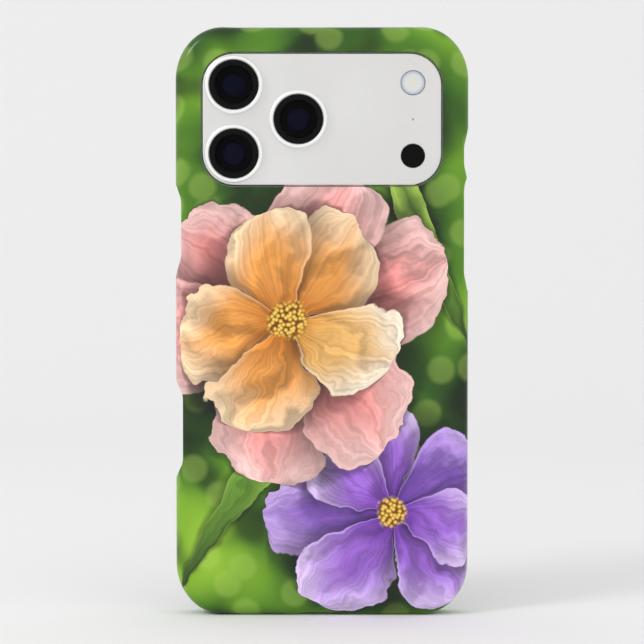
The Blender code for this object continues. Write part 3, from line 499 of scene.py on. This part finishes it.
LEAF = ("#2f4a1a", "#5f8a2c", "#a6c653")
LILAC_BACK = ("#5b2f8f", "#8a5cc4", "#c9a9ea")
LILAC = ("#6a2fa0", "#a06ad6", "#e2c8f7")
ROSE = ("#b8532f", "#e58a86", "#f6c9c4")
APRICOT = ("#c9721a", "#f0a24e", "#fbdcb4")
CREAM = ("#d9902c", "#f6bf72", "#fff0d8")
# each line: foot x and z in mm, direction in degrees, length, half width, bend, frill, colours
PETALS = [
    (-44, 2, 62, 84, 5.0, -14, 1.0, LEAF), (46, 72, 122, 66, 4.5, -10, 1.0, LEAF),
    (44, -4, 104, 62, 5.0, 10, 1.0, LEAF),
    (20, 30, 100, 35, 14.0, 5, 8.0, LILAC), (20, 30, 32, 33, 13.5, -4, 8.0, LILAC_BACK),
    (20, 30, 172, 36, 14.0, 6, 8.0, LILAC_BACK), (20, 30, 238, 34, 13.5, -5, 8.0, LILAC),
    (20, 30, 304, 34, 13.5, 5, 8.0, LILAC), (20, 30, 350, 27, 10.5, -4, 8.0, LILAC),
    (20, 30, 138, 25, 10.5, 4, 8.0, LILAC),
    (-10, 84, 12, 48, 17.5, 8, 9.0, ROSE), (-10, 84, 74, 44, 17.0, -6, 9.0, ROSE),
    (-10, 84, 132, 42, 17.0, 6, 9.0, ROSE), (-10, 84, 196, 43, 17.5, -7, 9.0, ROSE),
    (-10, 84, 254, 46, 17.5, 7, 9.0, ROSE), (-10, 84, 316, 46, 17.5, -6, 9.0, ROSE),
    (-10, 84, 44, 33, 14.5, 5, 10.0, APRICOT), (-10, 84, 112, 31, 14.0, -6, 10.0, APRICOT),
    (-10, 84, 184, 31, 14.5, 6, 10.0, APRICOT), (-10, 84, 258, 33, 14.5, -5, 10.0, APRICOT),
    (-10, 84, 330, 32, 14.5, 6, 10.0, CREAM),
]
petal = petal_group()
for i, (x, z, degrees, length, width, bend, frill, colours) in enumerate(PETALS):
    foot, middle, tip = (linear(c)[:3] for c in colours)
    below = node(tree, "ShaderNodeGroup", {
        "Point": swayed, "Ruffle": ruffle, "Foot": (x, z, 0), "Turn": math.radians(degrees),
        "Length": length, "Width": width, "Bend": bend, "Seed": i * 3.7, "Frill": frill, "Below": below, "Foot colour": foot,
        "Middle colour": middle, "Tip colour": tip}, node_tree=petal).outputs[0]
# golden hearts with crowded anthers about 1 mm across
for x, z, radius in ((-10, 84, 6.5), (20, 30, 5.0)):
    away = node(tree, "ShaderNodeVectorMath", {0: canvas, 1: (x, z, 0)},
                operation="DISTANCE").outputs["Value"]
    ragged = node(tree, "ShaderNodeSeparateXYZ", {0: ruffle}).outputs["X"]
    away = node(tree, "ShaderNodeMath", {0: ragged, 1: 6.0, 2: away}, operation="MULTIPLY_ADD").outputs[0]
    heart = node(tree, "ShaderNodeMapRange", {0: away, 1: radius, 2: radius * 0.55},
                 interpolation_type="SMOOTHSTEP").outputs[0]
    grains = node(tree, "ShaderNodeTexVoronoi", {"Vector": canvas, "Scale": 0.85}, voronoi_dimensions="2D")
    gold = node(tree, "ShaderNodeValToRGB", {"Fac": grains.outputs["Distance"]})
    gold.color_ramp.elements[0].color = linear("#ffd95e")
    gold.color_ramp.elements[0].position = 0.15
    gold.color_ramp.elements[1].color = linear("#7a3f08")
    gold.color_ramp.elements[1].position = 0.62
    gold = node(tree, "ShaderNodeSeparateColor", {0: gold.outputs[0]}).outputs
    gold = node(tree, "ShaderNodeCombineXYZ", {0: gold[0], 1: gold[1], 2: gold[2]}).outputs[0]
    below = node(tree, "ShaderNodeMix", {"Factor": heart, "A": below, "B": gold},
                 data_type="VECTOR").outputs["Result"]
peel = node(tree, "ShaderNodeTexNoise", {"Vector": place, "Scale": 700.0, "Detail": 1.0}).outputs["Fac"]
peel = node(tree, "ShaderNodeBump", {"Strength": 0.04, "Distance": 0.0001, "Height": peel}).outputs[0]
shader = node(tree, "ShaderNodeBsdfPrincipled", {"Base Color": below, "Roughness": 0.34, "IOR": 1.58,
              "Specular IOR Level": 0.12, "Coat Weight": 0.4, "Coat Roughness": 0.12, "Coat IOR": 1.5,
              "Normal": peel, "Coat Normal": peel})
node(tree, "ShaderNodeOutputMaterial", {"Surface": shader.outputs[0]})

# The plastic itself is milky white, a little cloudy, and shows where nothing is printed.
bare, tree = material("bare_polycarbonate")
place = node(tree, "ShaderNodeTexCoord").outputs["Object"]
cloud = node(tree, "ShaderNodeTexNoise", {"Vector": place, "Scale": 180.0, "Detail": 2.0}).outputs["Fac"]
tint = node(tree, "ShaderNodeMix", {"Factor": cloud, "A": linear("#d9dad6"), "B": linear("#e8e9e6")},
            data_type="RGBA").outputs["Result"]
shader = node(tree, "ShaderNodeBsdfPrincipled", {"Base Color": tint, "Roughness": 0.42, "IOR": 1.58,
              "Subsurface Weight": 0.1, "Subsurface Scale": 0.001})
node(tree, "ShaderNodeOutputMaterial", {"Surface": shader.outputs[0]})
case.data.materials.append(printed)
case.data.materials.append(bare)
space_middle = (phone_low + phone_high) / 2


def outside_of(point, half_x, half_z, corner):
    """How far a point lies outside an upright rounded outline about the phone's middle."""
    dx = abs(point.x - space_middle.x) - half_x + corner
    dz = abs(point.z - space_middle.z) - half_z + corner
    return math.hypot(max(dx, 0), max(dz, 0)) + min(max(dx, dz), 0) - corner


phone_half = (phone_high - phone_low) / 2
for face in case.data.polygons:
    wall = outside_of(face.center, phone_half.x + GAP, phone_half.z + GAP, PHONE_CORNER + GAP)
    rim = outside_of(face.center, phone_half.x - LIP_OVERHANG, phone_half.z - LIP_OVERHANG,
                     PHONE_CORNER - LIP_OVERHANG)
    inward = face.center.y > body_back - 1.1 * GAP and (
        wall < 0.1 * MM and abs(face.normal.y) > 0.9 and face.center.y < phone_high.y + GAP or
        abs(wall) < 0.1 * MM or abs(rim) < 0.1 * MM)
    face.material_index = int(inward)
settle(case, "phone", ["printed_case"], angle=34)

# ---- Frame and camera plateau ----
# The unibody is milled from one block of aluminium, bead blasted and anodised in silver. The
# plateau stands up from its back with a soft edge, and the lens rings are set into it.


def anodised(name, light, dark, roughness):
    """Bead-blasted anodised aluminium: a fine even grain, drawn at 0.15 mm so that it shows,
    and a slow drift of tone of a few millimetres."""
    made, tree = material(name)
    place = node(tree, "ShaderNodeTexCoord").outputs["Object"]
    blast = node(tree, "ShaderNodeTexNoise", {"Vector": place, "Scale": 6500.0, "Detail": 2.0
                 }).outputs["Fac"]
    drift = node(tree, "ShaderNodeTexNoise", {"Vector": place, "Scale": 60.0, "Detail": 2.0}).outputs["Fac"]
    mixed = node(tree, "ShaderNodeMath", {0: blast, 1: drift}, operation="MULTIPLY").outputs[0]
    colour = node(tree, "ShaderNodeMix", {"Factor": mixed, "A": linear(dark), "B": linear(light)},
                  data_type="RGBA").outputs["Result"]
    rough = node(tree, "ShaderNodeMapRange", {0: blast, 3: roughness - 0.05,
                 4: roughness + 0.06}).outputs[0]
    bump = node(tree, "ShaderNodeBump", {"Strength": 0.12, "Distance": 0.00004, "Height": blast}).outputs[0]
    shader = node(tree, "ShaderNodeBsdfPrincipled", {"Base Color": colour, "Metallic": 1.0,
                  "Roughness": rough, "Normal": bump})
    node(tree, "ShaderNodeOutputMaterial", {"Surface": shader.outputs[0]})
    return made


silver = anodised("anodised_aluminium", "#f4f4f2", "#dddcda", 0.42)
plateau_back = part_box("wide_ring")[0].y + 1.9 * MM
inside_y = body_back + 1.3 * MM
unibody = rounded_block("unibody", phone_low, phone_high, PHONE_CORNER, 1.2 * MM, 0.7 * MM)
low, high = spread(plateau_middle - PLATEAU_HALF, plateau_middle + PLATEAU_HALF, 0)
low.y, high.y = plateau_back, inside_y - 0.3 * MM
carve(unibody, [rounded_block("plateau", low, high, PLATEAU_CORNER, back=0.8 * MM, segments=16)], "UNION")
low, high = spread(phone_low, phone_high, -2.0 * MM)
low.y, high.y = inside_y, phone_high.y + PAST
room = rounded_block("room", low, high, PHONE_CORNER - 2.0 * MM)
low, high = spread(phone_low, phone_high, -0.8 * MM)
low.y, high.y = phone_high.y - 1.6 * MM, phone_high.y + PAST
ledge = rounded_block("ledge", low, high, PHONE_CORNER - 0.8 * MM)
carve(unibody, [room, ledge])
LENSES = {name: (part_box(f"{name}_ring")[0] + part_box(f"{name}_ring")[1]) / 2
          for name in ("ultrawide", "wide", "tele")}
pocket_y = plateau_back + 1.2 * MM
holes = [bar("hole", (spot.x, spot.z), 7.5 * MM, plateau_back - PAST, inside_y + PAST)
         for spot in LENSES.values()]
for part, play in (("flash_lens", 0.15), ("lidar_window", 0.15)):
    low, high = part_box(part)
    centre = ((low.x + high.x) / 2, (low.z + high.z) / 2)
    holes.append(bar("hole", centre, (high.x - low.x) / 2 + play * MM, plateau_back - PAST, pocket_y))
    sensor_x = centre[0]
holes.append(bar("hole", (sensor_x, PLATEAU_Z), 0.35 * MM, plateau_back - PAST, pocket_y, 24))
carve(unibody, holes)
BUTTONS = {name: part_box(name) for name in frame["record"]["behaviour"]["bodies"] if name != "phone"}
keyholes = []
for name, (low, high) in BUTTONS.items():
    margin = Vector((PAST, -0.25 * MM, -0.55 * MM))
    keyhole = block("keyhole", low - margin, high + margin)
    pick(keyhole, "EDGE", lambda e: abs(e.verts[0].co.x - e.verts[1].co.x) > 1e-6)
    bpy.ops.mesh.bevel(offset=(high.y - low.y) / 2 * 0.86, segments=10, affect="EDGES")
    bpy.ops.object.mode_set(mode="OBJECT")
    keyholes.append(keyhole)
carve(unibody, keyholes)
foot_z = frame_low.z
drilled = [bar("hole", (side * (12.0 + 2.5 * i) * MM, body_mid), 0.8 * MM, foot_z - PAST,
               foot_z + 5 * MM, 32, "Z")
           for side in (-1, 1) for i in range(5)]
drilled += [bar("hole", (side * 7.7 * MM, body_mid), 1.0 * MM, foot_z - PAST, foot_z + 5 * MM, 32, "Z")
            for side in (-1, 1)]
low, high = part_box("port_shell")
socket = block("socket", (low.x - 0.25 * MM, low.y - 0.25 * MM, foot_z - PAST),
               (high.x + 0.25 * MM, high.y + 0.25 * MM, foot_z + 5 * MM))
pick(socket, "EDGE", lambda e: abs(e.verts[0].co.z - e.verts[1].co.z) > 1e-6)
bpy.ops.mesh.bevel(offset=1.84 * MM, segments=10, affect="EDGES")
bpy.ops.object.mode_set(mode="OBJECT")
carve(unibody, drilled + [socket])
settle(unibody, "phone", ["frame"], silver)

# ---- Buttons ----
# Each is a small aluminium key with softly broken edges that stands just proud of the flank
# and goes down on a dome switch. It keeps the wider foot that holds it in.
for name, (low, high) in BUTTONS.items():
    side = 1 if low.x > 0 else -1
    outer = high.x if side > 0 else low.x
    inner = low.x if side > 0 else high.x
    margin = Vector((0, 0.5 * MM, 0.8 * MM))
    xs = sorted((outer, inner))
    key = block(f"{name}_key", (xs[0], low.y + margin.y, low.z + margin.z),
                (xs[1], high.y - margin.y, high.z - margin.z))
    pick(key, "EDGE", lambda e: abs(e.verts[0].co.x - e.verts[1].co.x) > 1e-6)
    bpy.ops.mesh.bevel(offset=(high.y - low.y - 2 * margin.y) / 2 * 0.995, segments=14, affect="EDGES")
    pick(key, "EDGE", lambda e: all(abs(v.co.x - outer) < 1e-6 for v in e.verts))
    bpy.ops.mesh.bevel(offset=0.22 * MM, segments=4, affect="EDGES")
    bpy.ops.object.mode_set(mode="OBJECT")
    xs = sorted((inner, inner + side * 0.5 * MM))
    foot = block("foot", (xs[0], low.y, low.z), (xs[1], high.y, high.z))
    carve(key, [foot], "UNION")
    settle(key, name, [name], silver)

# ---- Lens rings ----
# Turned from aluminium and polished: a broad rounded crown round each camera's glass, and a
# straight side that goes down into the plateau.


def polished(name, colour, roughness):
    """Satin-polished metal: dulled by hair-fine turning marks, drawn at 0.1 mm to show."""
    made, tree = material(name)
    place = node(tree, "ShaderNodeTexCoord").outputs["Object"]
    marks = node(tree, "ShaderNodeTexNoise", {"Vector": place, "Scale": 9000.0, "Detail": 1.0
                 }).outputs["Fac"]
    rough = node(tree, "ShaderNodeMapRange", {0: marks, 3: roughness * 0.8, 4: roughness * 1.3}).outputs[0]
    shader = node(tree, "ShaderNodeBsdfPrincipled", {"Base Color": linear(colour), "Metallic": 1.0,
                  "Roughness": rough})
    node(tree, "ShaderNodeOutputMaterial", {"Surface": shader.outputs[0]})
    return made


ring_metal = polished("polished_aluminium", "#f7f7f6", 0.4)
RING_R, BORE_R, STOP_R = 8.2 * MM, 7.15 * MM, 6.3 * MM
for name, spot in LENSES.items():
    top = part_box(f"{name}_ring")[0].y
    ring = bar(f"{name}_lens_ring", (spot.x, spot.z), RING_R, top, plateau_back + 1.1 * MM, 128)
    centre = Vector((spot.x, 0, spot.z))
    bore = bar("bore", (spot.x, spot.z), BORE_R, top - PAST, top + 1.05 * MM, 128)
    through = bar("through", (spot.x, spot.z), STOP_R, top - PAST, plateau_back + PAST, 128)
    carve(ring, [bore, through])

    def on_top(edge, radius):
        return all(abs(v.co.y - top) < 1e-6 and abs((Vector((v.co.x, 0, v.co.z)) - centre).length - radius)
                   < 2e-5 for v in edge.verts)

    pick(ring, "EDGE", lambda e: on_top(e, RING_R))
    bpy.ops.mesh.bevel(offset=0.42 * MM, segments=7, affect="EDGES")
    pick(ring, "EDGE", lambda e: on_top(e, BORE_R))
    bpy.ops.mesh.bevel(offset=0.2 * MM, segments=4, affect="EDGES")
    bpy.ops.object.mode_set(mode="OBJECT")
    settle(ring, "phone", [f"{name}_ring"], ring_metal)

# ---- Camera glasses and lenses ----
# Flat sapphire covers with a ground edge lie over black stepped barrels. Deep in each barrel
# sits a curved front element whose coating reflects a faint violet blue.
MASK_R = 5.4 * MM


def cover_glass(name, spot):
    """Sapphire with a black ring printed behind its edge, and clear in the middle."""
    made, tree = material(name)
    place = node(tree, "ShaderNodeTexCoord").outputs["Object"]
    haze = node(tree, "ShaderNodeTexNoise", {"Vector": place, "Scale": 90.0, "Detail": 2.0}).outputs["Fac"]
    haze = node(tree, "ShaderNodeMapRange", {0: haze, 3: 0.02, 4: 0.06}).outputs[0]
    away = node(tree, "ShaderNodeVectorMath", {0: place, 1: spot}, operation="DISTANCE").outputs["Value"]
    mask = node(tree, "ShaderNodeMapRange", {0: away, 1: MASK_R, 2: MASK_R + 0.05 * MM, 3: 0.15,
                4: 1.0}).outputs[0]
    shader = node(tree, "ShaderNodeBsdfPrincipled", {"Base Color": linear("#08080a"), "Roughness": haze,
                  "IOR": 1.45, "Specular IOR Level": 0.12, "Alpha": mask})
    node(tree, "ShaderNodeOutputMaterial", {"Surface": shader.outputs[0]})
    return made


barrel_black, tree = material("black_anodised_barrel")
place = node(tree, "ShaderNodeTexCoord").outputs["Object"]
ribs = node(tree, "ShaderNodeTexNoise", {"Vector": place, "Scale": 3000.0, "Detail": 1.0}).outputs["Fac"]
ribs = node(tree, "ShaderNodeMapRange", {0: ribs, 3: 0.3, 4: 0.5}).outputs[0]
shader = node(tree, "ShaderNodeBsdfPrincipled", {"Base Color": linear("#08080a"), "Roughness": ribs,
              "Specular IOR Level": 0.04})
node(tree, "ShaderNodeOutputMaterial", {"Surface": shader.outputs[0]})
coated, tree = material("coated_lens_glass")
place = node(tree, "ShaderNodeTexCoord").outputs["Object"]
film = node(tree, "ShaderNodeTexNoise", {"Vector": place, "Scale": 140.0, "Detail": 0.0}).outputs["Fac"]
film = node(tree, "ShaderNodeMix", {"Factor": film, "A": linear("#120a20"), "B": linear("#0a1424")},
            data_type="RGBA").outputs["Result"]
shader = node(tree, "ShaderNodeBsdfPrincipled", {"Base Color": film, "Roughness": 0.05, "IOR": 1.6,
              "Specular IOR Level": 0.12, "Specular Tint": linear("#a9a4ff")})
node(tree, "ShaderNodeOutputMaterial", {"Surface": shader.outputs[0]})
for name, spot in LENSES.items():
    low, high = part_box(f"{name}_cover_glass")
    disc = bar(f"{name}_sapphire", (spot.x, spot.z), (high.x - low.x) / 2, low.y, high.y, 128)
    round_rim(disc, low.y, 0.12 * MM, 3)
    bpy.ops.object.mode_set(mode="OBJECT")
    settle(disc, "phone", [f"{name}_cover_glass"],
           cover_glass(f"{name}_sapphire", Vector((spot.x, low.y, spot.z))))
    low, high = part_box(f"{name}_barrel")
    barrel = bar(f"{name}_lens_barrel", (spot.x, spot.z), (high.x - low.x) / 2, low.y, high.y, 96)
    pick(barrel, "FACE", lambda f: all(abs(v.co.y - low.y) < 1e-6 for v in f.verts))
    for width, depth in ((0.5, 0.2), (0.7, 0.3), (0.6, 0.3), (0.5, 0.25)):
        bpy.ops.mesh.inset(thickness=width * MM)
        bpy.ops.mesh.extrude_region_move(TRANSFORM_OT_translate={"value": (0, depth * MM, 0)})
    bpy.ops.object.mode_set(mode="OBJECT")
    settle(barrel, "phone", [f"{name}_barrel"], barrel_black)
    bpy.ops.object.select_all(action="DESELECT")
    bpy.ops.mesh.primitive_uv_sphere_add(
        segments=64, ring_count=32, radius=1, location=(spot.x, low.y + 1.05 * MM, spot.z),
        rotation=(math.pi / 2, 0, 0), scale=(3.4 * MM, 3.4 * MM, 0.75 * MM))
    bpy.ops.object.transform_apply(location=True, rotation=True, scale=True)
    front_element = bpy.context.object
    front_element.name = f"{name}_front_element"
    settle(front_element, "phone", (), coated)

# ---- Flash and depth sensor ----
# The flash is a moulded milky lens with fine rings over a warm emitter; the depth sensor is
# a plain disc of black glass.
milky, tree = material("frosted_flash_lens")
place = node(tree, "ShaderNodeTexCoord").outputs["Object"]
low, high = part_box("flash_lens")
flash_middle = (low + high) / 2
away = node(tree, "ShaderNodeVectorMath", {0: place, 1: flash_middle},
            operation="DISTANCE").outputs["Value"]
away = node(tree, "ShaderNodeMath", {0: away, 1: 1000.0}, operation="MULTIPLY").outputs[0]
tint = node(tree, "ShaderNodeValToRGB", {"Fac": node(tree, "ShaderNodeMath", {0: away, 1: 3.5},
            operation="DIVIDE").outputs[0]})
for spot, colour in ((0.2, "#ddd8c6"), (0.42, "#d9d9d4"), (0.7, "#d5d8da")):
    tint.color_ramp.elements.new(spot).color = linear(colour)
tint.color_ramp.elements[0].color = linear("#e6d9b2")
tint.color_ramp.elements[-1].color = linear("#9aa6b4")
rings = node(tree, "ShaderNodeMath", {0: away, 1: 14.0}, operation="MULTIPLY").outputs[0]
rings = node(tree, "ShaderNodeMath", {0: rings}, operation="SINE").outputs[0]
bump = node(tree, "ShaderNodeBump", {"Strength": 0.3, "Distance": 0.00005, "Height": rings}).outputs[0]
shader = node(tree, "ShaderNodeBsdfPrincipled", {"Base Color": tint.outputs[0], "Roughness": 0.25,
              "IOR": 1.5, "Coat Weight": 0.5, "Coat Roughness": 0.05, "Normal": bump})
node(tree, "ShaderNodeOutputMaterial", {"Surface": shader.outputs[0]})
flash = bar("flash_dome", (flash_middle.x, flash_middle.z), (high.x - low.x) / 2, low.y, high.y, 96)
round_rim(flash, low.y, 0.3 * MM, 5)
bpy.ops.object.mode_set(mode="OBJECT")
settle(flash, "phone", ["flash_lens"], milky)


def dark_glass(name, colour, roughness):
    """Glass that is printed black on its back: a clean mirror over a deep even colour, with
    smears a few millimetres wide that only show in reflections."""
    made, tree = material(name)
    place = node(tree, "ShaderNodeTexCoord").outputs["Object"]
    smear = node(tree, "ShaderNodeTexNoise", {"Vector": place, "Scale": 70.0, "Detail": 3.0}).outputs["Fac"]
    rough = node(tree, "ShaderNodeMapRange", {0: smear, 1: 0.4, 2: 0.7, 3: roughness,
                 4: roughness + 0.03}).outputs[0]
    shader = node(tree, "ShaderNodeBsdfPrincipled", {"Base Color": linear(colour), "Roughness": rough,
                  "IOR": 1.5, "Specular IOR Level": 0.08})
    node(tree, "ShaderNodeOutputMaterial", {"Surface": shader.outputs[0]})
    return made


black_glass = dark_glass("black_glass", "#08080a", 0.04)
low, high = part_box("lidar_window")
lidar = bar("sensor_disc", ((low.x + high.x) / 2, (low.z + high.z) / 2), (high.x - low.x) / 2,
            low.y, high.y, 96)
round_rim(lidar, low.y, 0.1 * MM, 3)
bpy.ops.object.mode_set(mode="OBJECT")
settle(lidar, "phone", ["lidar_window"], black_glass)

# ---- Front glass ----
# A flat strengthened pane with a softly rounded edge. The display behind it is off, so only
# its slightly cooler black, the border and the front camera's dark pill can be seen.
screen, tree = material("strengthened_front_glass")
place = node(tree, "ShaderNodeTexCoord").outputs["Object"]
parts = node(tree, "ShaderNodeSeparateXYZ", {0: place}).outputs
low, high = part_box("front_glass")
middle_z = (low.z + high.z) / 2
BORDER = 1.6 * MM
edge_x = node(tree, "ShaderNodeMath", {0: node(tree, "ShaderNodeMath", {0: parts["X"]}, operation="ABSOLUTE"
              ).outputs[0], 1: high.x - BORDER}, operation="SUBTRACT").outputs[0]
off_z = node(tree, "ShaderNodeMath", {0: parts["Z"], 1: middle_z}, operation="SUBTRACT").outputs[0]
edge_z = node(tree, "ShaderNodeMath", {0: node(tree, "ShaderNodeMath", {0: off_z}, operation="ABSOLUTE"
              ).outputs[0], 1: (high.z - low.z) / 2 - BORDER}, operation="SUBTRACT").outputs[0]
CORNER = 10.0 * MM
far_x = node(tree, "ShaderNodeMath", {0: edge_x, 1: CORNER}, operation="ADD").outputs[0]
far_z = node(tree, "ShaderNodeMath", {0: edge_z, 1: CORNER}, operation="ADD").outputs[0]
far_x = node(tree, "ShaderNodeMath", {0: far_x, 1: 0.0}, operation="MAXIMUM").outputs[0]
far_z = node(tree, "ShaderNodeMath", {0: far_z, 1: 0.0}, operation="MAXIMUM").outputs[0]
corner = node(tree, "ShaderNodeCombineXYZ", {"X": far_x, "Y": far_z}).outputs[0]
corner = node(tree, "ShaderNodeVectorMath", {0: corner}, operation="LENGTH").outputs["Value"]
shown = node(tree, "ShaderNodeMath", {0: corner, 1: CORNER}, operation="LESS_THAN").outputs[0]
smear = node(tree, "ShaderNodeTexNoise", {"Vector": place, "Scale": 45.0, "Detail": 3.0}).outputs["Fac"]
rough = node(tree, "ShaderNodeMapRange", {0: smear, 1: 0.4, 2: 0.7, 3: 0.03, 4: 0.07}).outputs[0]
tint = node(tree, "ShaderNodeMix", {"Factor": shown, "A": linear("#050506"), "B": linear("#0d0e12")},
            data_type="RGBA").outputs["Result"]
shader = node(tree, "ShaderNodeBsdfPrincipled", {"Base Color": tint, "Roughness": rough, "IOR": 1.5})
node(tree, "ShaderNodeOutputMaterial", {"Surface": shader.outputs[0]})
pane = rounded_block("front_pane", low, high, PHONE_CORNER - 1.1 * MM, front=0.35 * MM)
slit_low, slit_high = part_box("earpiece_grille")
slit = rounded_block("slit", (slit_low.x - 0.2 * MM, low.y - PAST, slit_low.z - 0.2 * MM),
                     (slit_high.x + 0.2 * MM, high.y + PAST, slit_high.z + 0.2 * MM), 0.49 * MM, segments=8)
carve(pane, [slit])
settle(pane, "phone", ["front_glass"], screen)

# ---- Hidden and small parts ----
# Everything else keeps its solid and takes the finish of its real material: stamped steel,
# solder mask, copper, black mouldings, amber flex, the cell's pouch and the sealing rubber.
FINISHES = {
    "steel": ("#b9bbbd", 1.0, 0.34, 2500.0), "black_plastic": ("#17171a", 0.0, 0.5, 1500.0),
    "board_laminate": ("#0f4a43", 0.0, 0.42, 900.0), "copper": ("#d08a63", 1.0, 0.35, 2000.0),
    "cell_pouch": ("#1c1c1f", 0.0, 0.45, 500.0), "flex": ("#9a5a14", 0.0, 0.4, 1200.0),
    "gasket_rubber": ("#151515", 0.0, 0.85, 1800.0), "display": ("#0b0b0d", 0.0, 0.2, 300.0),
    "rear_glass": ("#d6d6d3", 0.0, 0.4, 800.0),
}


def small_finish(name, colour, metallic, roughness, scale):
    """A plain industrial surface with a fine unevenness in tone and gloss."""
    made, tree = material(name)
    place = node(tree, "ShaderNodeTexCoord").outputs["Object"]
    noise = node(tree, "ShaderNodeTexNoise", {"Vector": place, "Scale": scale, "Detail": 2.0
                 }).outputs["Fac"]
    tone = node(tree, "ShaderNodeMapRange", {0: noise, 3: 0.85, 4: 1.12}).outputs[0]
    tint = node(tree, "ShaderNodeVectorMath", {0: linear(colour)[:3], "Scale": tone}, operation="SCALE")
    rough = node(tree, "ShaderNodeMapRange", {0: noise, 3: roughness * 0.85,
                 4: roughness * 1.15}).outputs[0]
    shader = node(tree, "ShaderNodeBsdfPrincipled", {"Base Color": tint.outputs[0], "Metallic": metallic,
                  "Roughness": rough})
    node(tree, "ShaderNodeOutputMaterial", {"Surface": shader.outputs[0]})
    return made


small = {slot: small_finish(slot + "_finish", *facts) for slot, facts in FINISHES.items()}
for part in frame["record"]["subparts"]:
    cad_node = frame["nodes"][part["node"]]
    if not cad_node.hide_render:
        cad_node.data.materials.clear()
        cad_node.data.materials.append(small[part["material_slot"]])
